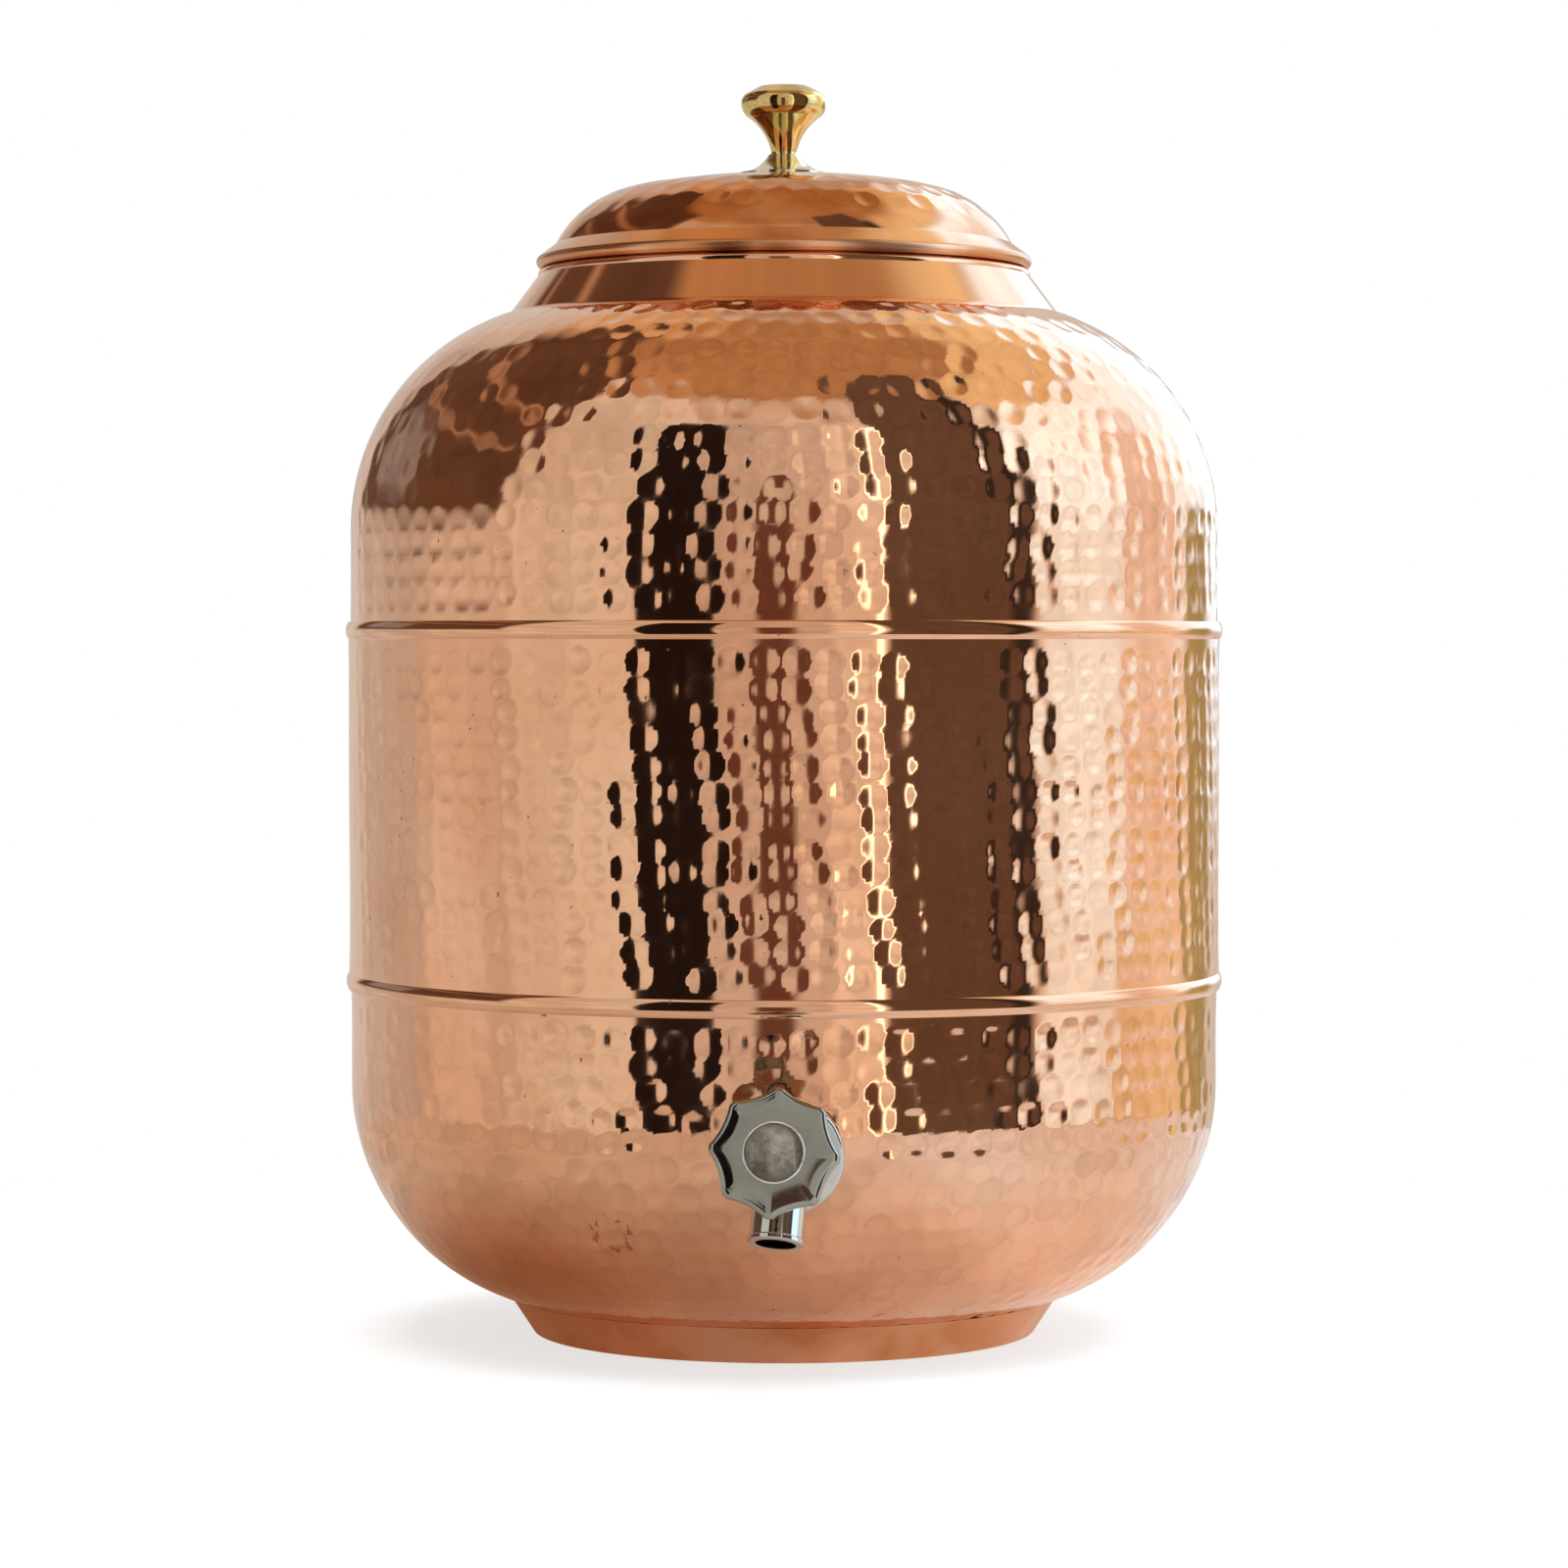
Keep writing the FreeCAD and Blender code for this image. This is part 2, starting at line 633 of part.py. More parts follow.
def back_nut():
    """The hexagon nut that pulls the shank, washer and gaskets against the wall."""
    corner = "(nut_flats / sqrt(3))"
    bevel = "(nut_flats * 0.05)"
    blank = turned("back_nut_blank", [
        ("(shank_radius + thread_gap)", NUT_BACK),
        (f"({corner} - {bevel})", NUT_BACK),
        (corner, f"({NUT_BACK} + {bevel})"),
        (corner, f"({WASHER_BACK} - {bevel})"),
        (f"({corner} - {bevel})", WASHER_BACK),
        ("(shank_radius + thread_gap)", WASHER_BACK)])
    return on_shank(hex_piece("back_nut", "nut_flats", NUT_BACK, WASHER_BACK, blank, NUT_BACK, WASHER_BACK))


def tap_body():
    """One casting: shank, clamping ring, valve barrel and spout, bored from all three ends."""
    back_arc = "(barrel_radius * 1.05)"
    cone_end = f"({FLANGE_FRONT} + flange_plate * 2.5)"
    outlet_start = "(chamber_radius * 0.85)"
    barrel = on_valve(turned("barrel", [
        ("0", "(0 - barrel_back)", back_arc),
        ("barrel_radius", "(0 - barrel_back + barrel_radius)"),
        ("barrel_radius", "barrel_length"),
        ("0", "barrel_length")]))
    shank = on_shank(turned("shank", [
        ("0", SHANK_END),
        ("shank_radius", SHANK_END),
        ("shank_radius", FLANGE_FRONT),
        ("shoulder_ring_radius", FLANGE_FRONT),
        ("shoulder_ring_radius", f"({FLANGE_FRONT} + flange_plate)"),
        ("shank_radius", cone_end),
        ("shank_radius", "0"),
        ("0", "0")]))
    spout = on_spout(turned("spout", [
        ("0", "0"),
        ("spout_radius", "0"),
        ("spout_radius", "(spout_length - spout_lip_height - spout_lip_bevel)"),
        ("spout_lip_radius", "(spout_length - spout_lip_height)"),
        ("spout_lip_radius", "(spout_length - spout_lip_bevel)"),
        ("(spout_lip_radius - spout_lip_bevel)", "spout_length"),
        ("0", "spout_length")]))
    barrel_and_shank = combine("Part::Fuse", "barrel_and_shank", barrel, shank)
    casting = combine("Part::Fuse", "casting", barrel_and_shank, spout)
    valve_bore = on_valve(turned("valve_bore", [
        ("0", "(0 - shank_bore)"),
        ("shank_bore", "(0 - shank_bore)"),
        ("shank_bore", "0"),
        ("seat_outer_radius", "0"),
        ("seat_outer_radius", "(0 - seat_lip)"),
        ("chamber_radius", "(0 - seat_lip)"),
        ("chamber_radius", "chamber_length"),
        ("body_thread_radius", "chamber_length"),
        ("body_thread_radius", "(barrel_length + cut_overrun)"),
        ("0", "(barrel_length + cut_overrun)")]))
    inlet_low = f"({SHANK_END} - cut_overrun)"
    inlet = on_shank(ring("inlet_bore", "0", "shank_bore", inlet_low, "(0 - shank_bore / 2)"))
    outlet = on_spout(ring("outlet_bore", "0", "spout_bore", outlet_start, "(spout_length + cut_overrun)"))
    valve_and_inlet = combine("Part::Fuse", "valve_and_inlet", valve_bore, inlet)
    bores = combine("Part::Fuse", "bores", valve_and_inlet, outlet)
    return combine("Part::Cut", "tap_body_cut", casting, bores)


# ------------------------------------------------------------------ tap, along its valve: headwork
BONNET_SEAT = "(barrel_length + bonnet_washer_thickness)"
HEX_END = f"({BONNET_SEAT} + bonnet_hex_length)"
NECK_END = f"({HEX_END} + bonnet_neck_length)"
PACKING_LOW = f"({NECK_END} - packing_length - end_gap * 2)"
PACKING_HIGH = f"({PACKING_LOW} + packing_length)"
GLAND_LOW = f"({HEX_END} + end_gap * 3)"
GLAND_TOP = f"({NECK_END} + end_gap + gland_web)"
STEM_HOLE = "(stem_radius + running_gap)"
THREAD_HOLE = "(spindle_thread_radius + running_gap)"
TIP_LOW = "(washer_thickness + jumper_disc + end_gap * 2)"
THREAD_LOW = "(washer_thickness + jumper_disc + jumper_boss + end_gap)"
THREAD_HIGH = f"({THREAD_LOW} + spindle_thread_length)"
STOP = f"({THREAD_HIGH} + lift + end_gap)"


def bonnet_washer():
    """The sealing washer between the barrel's rim and the bonnet."""
    inner, outer = "(body_thread_radius + thread_gap)", "(barrel_radius - running_gap)"
    return on_valve(ring("bonnet_washer", inner, outer, "barrel_length", BONNET_SEAT))


def bonnet():
    """The screwed-in head that guides the spindle and holds its packing."""
    corner = "(bonnet_flats / sqrt(3))"
    thread = "(body_thread_radius - thread_gap)"
    blank = turned("bonnet_blank", [
        (THREAD_HOLE, "(chamber_length + end_gap)"),
        (thread, "(chamber_length + end_gap)"),
        (thread, BONNET_SEAT),
        (corner, BONNET_SEAT),
        (corner, f"({HEX_END} - nut_bevel)"),
        (f"({corner} - nut_bevel * 1.5)", HEX_END),
        ("bonnet_neck_radius", HEX_END),
        ("bonnet_neck_radius", NECK_END),
        ("(packing_radius + thread_gap)", NECK_END),
        ("(packing_radius + thread_gap)", PACKING_LOW),
        (STEM_HOLE, PACKING_LOW),
        (STEM_HOLE, STOP),
        (THREAD_HOLE, STOP)])
    return on_valve(hex_piece("bonnet", "bonnet_flats", BONNET_SEAT, HEX_END, blank, BONNET_SEAT, HEX_END))


def spindle_packing():
    """The soft packing ring round the stem."""
    return on_valve(ring("spindle_packing", STEM_HOLE, "packing_radius", PACKING_LOW, PACKING_HIGH))


def gland_nut():
    """The cap nut that presses the packing down round the stem."""
    corner = "(gland_flats / sqrt(3))"
    thread = "(bonnet_neck_radius + thread_gap)"
    boss = "(packing_radius - thread_gap)"
    web = f"({GLAND_TOP} - gland_web)"
    blank = turned("gland_blank", [
        (thread, GLAND_LOW),
        (corner, GLAND_LOW),
        (corner, f"({GLAND_TOP} - nut_bevel)"),
        (f"({corner} - nut_bevel * 2)", GLAND_TOP),
        (STEM_HOLE, GLAND_TOP),
        (STEM_HOLE, PACKING_HIGH),
        (boss, PACKING_HIGH),
        (boss, web),
        (thread, web)])
    return on_valve(hex_piece("gland_nut", "gland_flats", GLAND_LOW, GLAND_TOP, blank, GLAND_LOW, GLAND_TOP))


# ------------------------------------------------------------------ tap, moving pieces
def seat_washer():
    """The rubber washer that closes on the seat's lip."""
    inner = "(stud_radius + thread_gap)"
    return on_valve(ring("seat_washer", inner, "washer_radius", "0", "washer_thickness"))


def jumper():
    """The valve disc: a stud through the washer, and a socket in which the spindle's tip turns."""
    disc_top = "(washer_thickness + jumper_disc)"
    boss_top = f"({disc_top} + jumper_boss)"
    socket = "(spindle_tip_radius + running_gap)"
    stud_end = "(0 - stud_nut_thickness - end_gap)"
    return on_valve(turned("jumper", [
        ("0", stud_end),
        ("stud_radius", stud_end),
        ("stud_radius", "washer_thickness"),
        ("jumper_radius", "washer_thickness"),
        ("jumper_radius", disc_top),
        ("jumper_boss_radius", disc_top),
        ("jumper_boss_radius", boss_top),
        (socket, boss_top),
        (socket, f"({disc_top} + end_gap)"),
        ("0", f"({disc_top} + end_gap)")]))


def jumper_nut():
    """The small nut that holds the washer on the jumper's stud."""
    low = "(0 - stud_nut_thickness)"
    blank = ring("jumper_nut_blank", "(stud_radius + thread_gap)", "(stud_nut_flats / sqrt(3))", low, "0")
    return on_valve(hex_piece("jumper_nut", "stud_nut_flats", low, "0", blank, low, "0"))


HUB_BACK = f"({GLAND_TOP} + handle_gap)"
DISC_BACK = f"({HUB_BACK} + handle_hub_length)"
DISC_FRONT = f"({DISC_BACK} + handle_thickness)"
RECESS_FLOOR = f"({DISC_FRONT} - cap_recess)"
DRIVE_END = f"({RECESS_FLOOR} - handle_web)"
DRIVE_LOW = f"({DRIVE_END} - end_gap - drive_length)"


TINY = 1e-6
ON_AXIS = ("0", "0")


def square(name, body, side, low):
    """A square sketch across a body's Z axis at a height."""
    half = f"({side} / 2)"
    minus = f"(0 - {side} / 2)"
    return outline(body, name, [(minus, minus), (half, minus), (half, half), (minus, half)], "XY_Plane", low)


def circle_sketch(name, body, centre, radius, low):
    """A circle on a body's XY plane at a height, with its centre given as (x, y)."""
    sketch = body.newObject("Sketcher::SketchObject", name)
    base = next(part for part in body.Origin.OriginFeatures if part.Role == "XY_Plane")
    sketch.AttachmentSupport = [(base, "")]
    sketch.MapMode = "FlatFace"
    sketch.setExpression("AttachmentOffset.Base.z", named(low))
    middle = FreeCAD.Vector(number(centre[0]), number(centre[1]), 0)
    sketch.addGeometry(Part.Circle(middle, FreeCAD.Vector(0, 0, 1), number(radius)), False)
    fix_point(sketch, 0, CENTRE_POINT, centre)
    made = sketch.addConstraint(Sketcher.Constraint("Radius", 0, number(radius)))
    sketch.setExpression(f"Constraints[{made}]", named(radius))
    return sketch


def extrude(kind, name, body, sketch, length, reverse=False):
    """A Pad or Pocket of a sketch, with its length bound to an expression."""
    feature = body.newObject(kind, name)
    feature.Profile = sketch
    feature.setExpression("Length", named(length))
    feature.Reversed = reverse
    doc.recompute()
    return feature


def cut(name, body, sketch, length):
    """A Pocket of a sketch upwards along local Z, which must remove something."""
    before = body.Shape.Volume
    feature = extrude("PartDesign::Pocket", name, body, sketch, length, True)
    if body.Shape.Volume > before - TINY:
        raise RuntimeError(name + " cut nothing")
    return feature


def spindle():
    """The rising spindle: swivel tip, thread, stem and the square that drives the handle."""
    body = turned("spindle", [
        ("0", TIP_LOW),
        ("spindle_tip_radius", TIP_LOW),
        ("spindle_tip_radius", THREAD_LOW),
        ("spindle_thread_radius", THREAD_LOW),
        ("spindle_thread_radius", THREAD_HIGH),
        ("stem_radius", THREAD_HIGH),
        ("stem_radius", DRIVE_LOW),
        ("0", DRIVE_LOW)])
    drive = square("drive_outline", body, "drive_square", DRIVE_LOW)
    extrude("PartDesign::Pad", "drive", body, drive, "drive_length")
    hole_low = f"({RECESS_FLOOR} - handle_screw_length - end_gap)"
    tapped = circle_sketch("tapped_outline", body, ON_AXIS, "(handle_screw_radius + thread_gap)", hole_low)
    cut("tapped_hole", body, tapped, "(handle_screw_length + handle_web)")
    return on_valve(body)


def tap_handle():
    """The star knob: a scalloped disc with a bevelled face, a ring for the cap, and a hub behind."""
    inner_back = "(handle_radius * 0.62)"
    back_rise = f"({DISC_BACK} + handle_thickness * 0.15)"
    rim_back = f"({DISC_BACK} + handle_thickness * 0.25)"
    body = turned("tap_handle", [
        ("0", HUB_BACK),
        ("handle_hub_radius", HUB_BACK),
        ("handle_hub_radius", DISC_BACK),
        (inner_back, back_rise),
        ("handle_radius", rim_back),
        ("handle_radius", DISC_FRONT),
        ("cap_ring_radius", DISC_FRONT),
        ("cap_ring_radius", f"({DISC_FRONT} + cap_ring_rise)"),
        ("(cap_radius + thread_gap)", f"({DISC_FRONT} + cap_ring_rise)"),
        ("(cap_radius + thread_gap)", RECESS_FLOOR),
        ("0", RECESS_FLOOR)])
    half_step = "(180deg / handle_points)"
    reach = f"cos({half_step} - handle_tip_width / handle_radius / 2 * 1rad)"
    away = f"((handle_radius ^ 2 - handle_valley ^ 2) / (2 * (handle_radius * {reach} - handle_valley)))"
    centre = (f"({away} * cos({half_step}))", f"({away} * sin({half_step}))")
    scallop = circle_sketch("scallop_outline", body, centre, f"({away} - handle_valley)", HUB_BACK)
    pocket = cut("scallop", body, scallop, f"({DISC_FRONT} + cut_overrun - {HUB_BACK})")
    pattern = body.newObject("PartDesign::PolarPattern", "scallops")
    pattern.Originals = [pocket]
    axis = next(part for part in body.Origin.OriginFeatures if part.Role == "Z_Axis")
    pattern.Axis = (axis, [""])
    pattern.Angle = 360
    pattern.setExpression("Occurrences", named("handle_points"))
    body.Tip = pattern
    doc.recompute()
    bevel = body.newObject("PartDesign::Chamfer", "face_bevel")
    bevel.Base = (pattern, star_edges(pattern.Shape))
    bevel.setExpression("Size", named("handle_bevel"))
    body.Tip = bevel
    doc.recompute()
    socket = square("socket_outline", body, "(drive_square + thread_gap)", HUB_BACK)
    cut("drive_socket", body, socket, f"({DRIVE_END} - {HUB_BACK})")
    stem = circle_sketch("stem_outline", body, ON_AXIS, "(stem_radius + end_gap)", HUB_BACK)
    cut("stem_socket", body, stem, f"({DRIVE_LOW} - {HUB_BACK} + end_gap)")
    hole = circle_sketch("hole_outline", body, ON_AXIS, "(handle_screw_radius + hole_gap)", DRIVE_END)
    cut("screw_hole", body, hole, "(handle_web + end_gap)")
    return on_valve(body)


def star_edges(shape):
    """Names of the outline edges of the star's flat front face."""
    front = number(DISC_FRONT)
    beyond_ring = number("(cap_ring_radius + handle_valley) / 2")
    names = []
    for index, edge in enumerate(shape.Edges, start=1):
        middle = edge.valueAt((edge.FirstParameter + edge.LastParameter) / 2)
        points = [middle] + [vertex.Point for vertex in edge.Vertexes]
        flat = all(abs(point.z - front) < TINY for point in points)
        if flat and (middle.x ** 2 + middle.y ** 2) ** 0.5 > beyond_ring:
            names.append(f"Edge{index}")
    return names


def handle_screw():
    """The screw that holds the handle on the spindle, under the cap."""
    head = f"({RECESS_FLOOR} + handle_screw_head_height)"
    slot = "(handle_screw_head * 0.4)"
    slot_floor = f"({head} - handle_screw_head_height / 2)"
    rounding = "(handle_screw_head_height * 0.4)"
    return on_valve(turned("handle_screw", [
        ("0", f"({RECESS_FLOOR} - handle_screw_length)"),
        ("handle_screw_radius", f"({RECESS_FLOOR} - handle_screw_length)"),
        ("handle_screw_radius", RECESS_FLOOR),
        ("handle_screw_head", RECESS_FLOOR),
        ("handle_screw_head", f"({head} - {rounding})", rounding),
        (f"(handle_screw_head - {rounding})", head),
        (slot, head),
        (slot, slot_floor),
        ("0", slot_floor)]))


def handle_cap():
    """The clear domed cap pressed into the handle's ring."""
    low = f"({RECESS_FLOOR} + handle_screw_head_height + end_gap)"
    edge = f"({DISC_FRONT} + cap_ring_rise * 2 / 3)"
    dome = "((cap_radius ^ 2 + cap_rise ^ 2) / (2 * cap_rise))"
    return on_valve(turned("handle_cap", [
        ("0", low),
        ("cap_radius", low),
        ("cap_radius", edge, dome),
        ("0", f"({edge} + cap_rise)")]))


MAKERS = {
    "foot_ring": foot_ring,
    "base_bowl": base_bowl,
    "wall_band": wall_band,
    "shoulder_shell": shoulder_shell,
    "lid_shell": lid_with_hole,
    "lid_collar": lid_collar,
    "knob_base": knob_base,
    "knob": knob,
    "knob_washer": knob_washer,
    "knob_screw": knob_screw,
    "tap_flange": tap_flange,
    "outer_gasket": outer_gasket,
    "inner_gasket": inner_gasket,
    "inner_washer": inner_washer,
    "back_nut": back_nut,
    "tap_body": tap_body,
    "bonnet_washer": bonnet_washer,
    "bonnet": bonnet,
    "spindle_packing": spindle_packing,
    "gland_nut": gland_nut,
    "seat_washer": seat_washer,
    "jumper": jumper,
    "jumper_nut": jumper_nut,
    "spindle": spindle,
    "tap_handle": tap_handle,
    "handle_screw": handle_screw,
    "handle_cap": handle_cap,
}


def write_parts():
    """Build every sub-part, stop on any failed object, and write one STEP file each."""
    for label, make in MAKERS.items():
        finish(make(), label)
    doc.recompute()
    for item in doc.Objects:
        if "Invalid" in item.State or "Error" in item.State:
            raise RuntimeError(f"{item.Name} failed: {item.State}")
    for piece in SUBPARTS:
        if piece.Shape.isNull() or not piece.Shape.isValid():
            raise RuntimeError(f"{piece.Label} has no valid shape")
    os.makedirs("parts", exist_ok=True)
    for piece in SUBPARTS:
        piece.Shape.exportStep(os.path.join("parts", piece.Label + ".step"))
        box = piece.Shape.BoundBox
        print(f"{piece.Label}: {piece.Shape.Volume:.1f} mm3, z {box.ZMin:.2f} to {box.ZMax:.2f}")


write_parts()
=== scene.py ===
"""A hammered copper water dispenser: copper shells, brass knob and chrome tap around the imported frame.

Metres, +Z up, and the tap points along -Y. Turned pieces are surfaces of two parameters, the angle phi
about the tank's axis (0 at the tap, positive towards +X) and the length s along the piece's outline.
"""
import json
import math

import bpy
import numpy as np
from bpy.props import FloatProperty, FloatVectorProperty, IntProperty, PointerProperty
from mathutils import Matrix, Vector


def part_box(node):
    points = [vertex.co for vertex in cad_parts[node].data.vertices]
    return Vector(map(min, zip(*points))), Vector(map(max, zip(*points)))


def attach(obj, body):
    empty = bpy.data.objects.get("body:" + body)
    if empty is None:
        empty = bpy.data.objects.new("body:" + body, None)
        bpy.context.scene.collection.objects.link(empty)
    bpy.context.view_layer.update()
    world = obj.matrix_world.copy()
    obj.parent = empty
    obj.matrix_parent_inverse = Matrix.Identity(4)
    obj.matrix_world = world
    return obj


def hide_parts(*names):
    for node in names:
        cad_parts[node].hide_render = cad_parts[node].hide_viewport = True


bl_info = {
    "name": "Hammered Copper Water Dispenser",
    "version": (1, 0, 0),
    "blender": (4, 5, 0),
    "location": "View3D > Sidebar > Dispenser",
    "description": "Builds the hammered copper dispenser, its finishes and its studio",
    "category": "Add Mesh",
}

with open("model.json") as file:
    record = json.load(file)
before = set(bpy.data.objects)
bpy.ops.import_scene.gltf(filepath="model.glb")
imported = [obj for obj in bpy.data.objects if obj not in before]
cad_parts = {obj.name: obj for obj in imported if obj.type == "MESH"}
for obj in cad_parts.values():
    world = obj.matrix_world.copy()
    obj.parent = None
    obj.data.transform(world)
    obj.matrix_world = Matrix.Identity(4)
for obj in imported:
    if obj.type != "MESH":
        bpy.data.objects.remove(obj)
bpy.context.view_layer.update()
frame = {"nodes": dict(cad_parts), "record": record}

BOWL_LOW, BOWL_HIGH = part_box("base_bowl")
BAND_LOW, BAND_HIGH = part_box("wall_band")
SHOULDER_LOW, SHOULDER_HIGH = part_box("shoulder_shell")
FOOT_LOW, FOOT_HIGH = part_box("foot_ring")
LID_LOW, LID_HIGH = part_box("lid_shell")


# ---------------------------------------------------------------- sizes and colours
def length(label, default, description):
    """A length property in metres."""
    return FloatProperty(name=label, description=description, default=default, unit="LENGTH", precision=5)


def colour(label, default, description):
    """A linear colour property."""
    return FloatVectorProperty(name=label, description=description, default=default, subtype="COLOR",
                               size=3, min=0.0, max=1.0)


class DispenserSizes(bpy.types.PropertyGroup):
    """Sizes of the copper shells and of the hammer marks on them."""

    sheet: length("Sheet", 0.0008, "Thickness of the copper sheet")
    body_radius: length("Body radius", BOWL_HIGH[0], "Outer radius of the bowl and the shoulder")
    bowl_arc: length("Bowl arc", 0.0718, "Radius of the bowl's rounded corner")
    shoulder_arc: length("Shoulder arc", 0.0722, "Radius of the shoulder's dome")
    shoulder_start: length("Shoulder start", 0.2592, "Height at which the shoulder begins to curve")
    neck_radius: length("Neck radius", 0.0883, "Radius of the crease under the neck")
    curl_radius: length("Curl radius", 0.0016, "Radius of the mouth's curled edge")
    mouth_radius: length("Mouth radius", 0.0762, "Inner radius of the mouth")
    bead_half: length("Bead half height", 0.0028, "Half the height of the beads on the band")
    bead_rise: length("Bead rise", 0.0009, "How far the beads stand out from the band")
    crown_arc: length("Crown arc", 0.278, "Radius of the lid's crown")
    lid_corner: length("Lid corner", 0.035, "Radius of the lid's rounded corner")
    lid_bead: length("Lid bead", 0.00215, "Radius of the bead round the lid's edge")
    mark_pitch: length("Mark pitch", 0.0096, "Distance from one hammer mark to the next round a row")
    row_pitch: length("Row pitch", 0.0079, "Distance from one row of marks to the next")
    mark_width: length("Mark width", 0.0092, "Width of a hammer mark")
    mark_depth: length("Mark depth", 0.00030, "Depth of a hammer mark")
    star_radius: length("Star radius", 0.0189, "Radius of the handle's points")
    star_valley: length("Star valley", 0.0168, "Radius of the handle between its points")
    star_points: IntProperty(name="Star points", description="Points on the handle", default=8, min=3)
    star_round: length("Star rounding", 0.0021, "Rounding of the edge of the handle's face")
    columns: IntProperty(name="Columns", description="Grid columns round a shell", default=640, min=64)
    lid_columns: IntProperty(name="Lid columns", description="Grid columns of the lid", default=560, min=64)


class DispenserColours(bpy.types.PropertyGroup):
    """Colours of the finishes."""

    copper: colour("Copper", (0.890, 0.520, 0.345), "Polished copper")
    old_copper: colour("Old copper", (0.800, 0.395, 0.225), "Copper that has darkened under its lacquer")
    # The tarnish tone also darkens the rims of the hammer marks, partly as oxide and partly as painted shade.
    deep_copper: colour("Deep copper", (0.700, 0.310, 0.142), "Deeper copper of the lid and the foot")
    tarnish: colour("Tarnish", (0.230, 0.095, 0.050), "Specks and stains on the copper")
    brass: colour("Brass", (0.800, 0.590, 0.240), "Polished brass of the knob")
    # The paler brass of the knob's flared foot is partly its own tone and partly a painted highlight standing
    # in for the light on its edge.
    pale_brass_and_highlight: colour("Pale brass", (0.830, 0.740, 0.520), "Bright flared foot of the knob")
    plain_brass: colour("Plain brass", (0.620, 0.460, 0.215), "Machined brass inside the tap")
    chrome: colour("Chrome", (0.640, 0.650, 0.630), "Chrome plate of the tap")
    dull_chrome: colour("Dull chrome", (0.370, 0.385, 0.355), "Grey plate of the handle")
    steel: colour("Steel", (0.560, 0.560, 0.550), "Screws and washers")
    silicone: colour("Silicone", (0.480, 0.200, 0.140), "Gaskets on both sides of the wall")
    rubber: colour("Rubber", (0.030, 0.030, 0.030), "Seat washer")
    packing: colour("Packing", (0.800, 0.800, 0.770), "Packing under the gland nut")
    clear: colour("Clear cap", (0.360, 0.345, 0.300), "Clear cap in the handle")


def sizes():
    """The sizes as the panel holds them."""
    return bpy.context.scene.dispenser_sizes


def colours():
    """The colours as the panel holds them."""
    return bpy.context.scene.dispenser_colours


# ---------------------------------------------------------------- shader nodes
def add_node(tree, kind, settings=None, **sockets):
    """Adds a node; a socket argument is a number, a colour or another node's output, by socket name."""
    made = tree.nodes.new(kind)
    for name, value in (settings or {}).items():
        setattr(made, name, value)
    for name, value in sockets.items():
        target = made.inputs[int(name[1:])] if name[0] == "i" and name[1:].isdigit() else made.inputs[
            name.replace("_", " ")]
        if isinstance(value, bpy.types.NodeSocket):
            tree.links.new(value, target)
        else:
            target.default_value = value
    return made


def maths(tree, operation, first, second=0.0, third=0.0, clamp=False):
    """A Math node's result."""
    return add_node(tree, "ShaderNodeMath", {"operation": operation, "use_clamp": clamp},
                    i0=first, i1=second, i2=third).outputs[0]


def between(tree, value, low, high, new_low=0.0, new_high=1.0):
    """A smooth step of value from low to high."""
    made = add_node(tree, "ShaderNodeMapRange", {"interpolation_type": "SMOOTHSTEP"}, Value=value,
                    From_Min=low, From_Max=high, To_Min=new_low, To_Max=new_high)
    return made.outputs["Result"]


def blend_colours(tree, share, first, second):
    """A colour that goes from first to second as share goes from 0 to 1."""
    made = tree.nodes.new("ShaderNodeMix")
    made.data_type = "RGBA"
    for index, value in ((0, share), (6, first), (7, second)):
        if isinstance(value, bpy.types.NodeSocket):
            tree.links.new(value, made.inputs[index])
        else:
            made.inputs[index].default_value = value if index == 0 else (*value, 1.0)
    return made.outputs[2]


def object_point(tree, scale=(1.0, 1.0, 1.0)):
    """Object coordinates, stretched by a factor along each axis."""
    place = tree.nodes.new("ShaderNodeTexCoord").outputs["Object"]
    return add_node(tree, "ShaderNodeMapping", Vector=place, Scale=scale).outputs["Vector"]


def noise(tree, vector, scale, detail=3.0, roughness=0.5):
    """A noise texture's value."""
    return add_node(tree, "ShaderNodeTexNoise", Vector=vector, Scale=scale, Detail=detail,
                    Roughness=roughness).outputs[0]


def rippled(tree, light, place, scale):
    """A light made gently uneven by noise, so that each hammer mark shows a soft shade of its own."""
    ripple = between(tree, noise(tree, place, scale, 2.0), 0.30, 0.70, 0.86, 1.12)
    scaled = add_node(tree, "ShaderNodeVectorMath", {"operation": "SCALE"}, i0=light, Scale=ripple)
    return scaled.outputs["Vector"]


def distance_from(tree, place, centre):
    """Distance of a point from a centre."""
    away = add_node(tree, "ShaderNodeVectorMath", {"operation": "DISTANCE"}, i0=place, i1=centre)
    return away.outputs["Value"]


def bump(tree, height, distance, strength=1.0, normal=None):
    """A bump normal from a height in 0 to 1."""
    made = add_node(tree, "ShaderNodeBump", Height=height, Distance=distance, Strength=strength)
    if normal is not None:
        tree.links.new(normal, made.inputs["Normal"])
    return made.outputs["Normal"]


def new_finish(name):
    """An empty material with one Principled shader; returns the material, its tree and the shader."""
    material = bpy.data.materials.new(name)
    material.use_nodes = True
    tree = material.node_tree
    shader = next(part for part in tree.nodes if part.type == "BSDF_PRINCIPLED")
    return material, tree, shader


WORN_EDGE = 0.0012


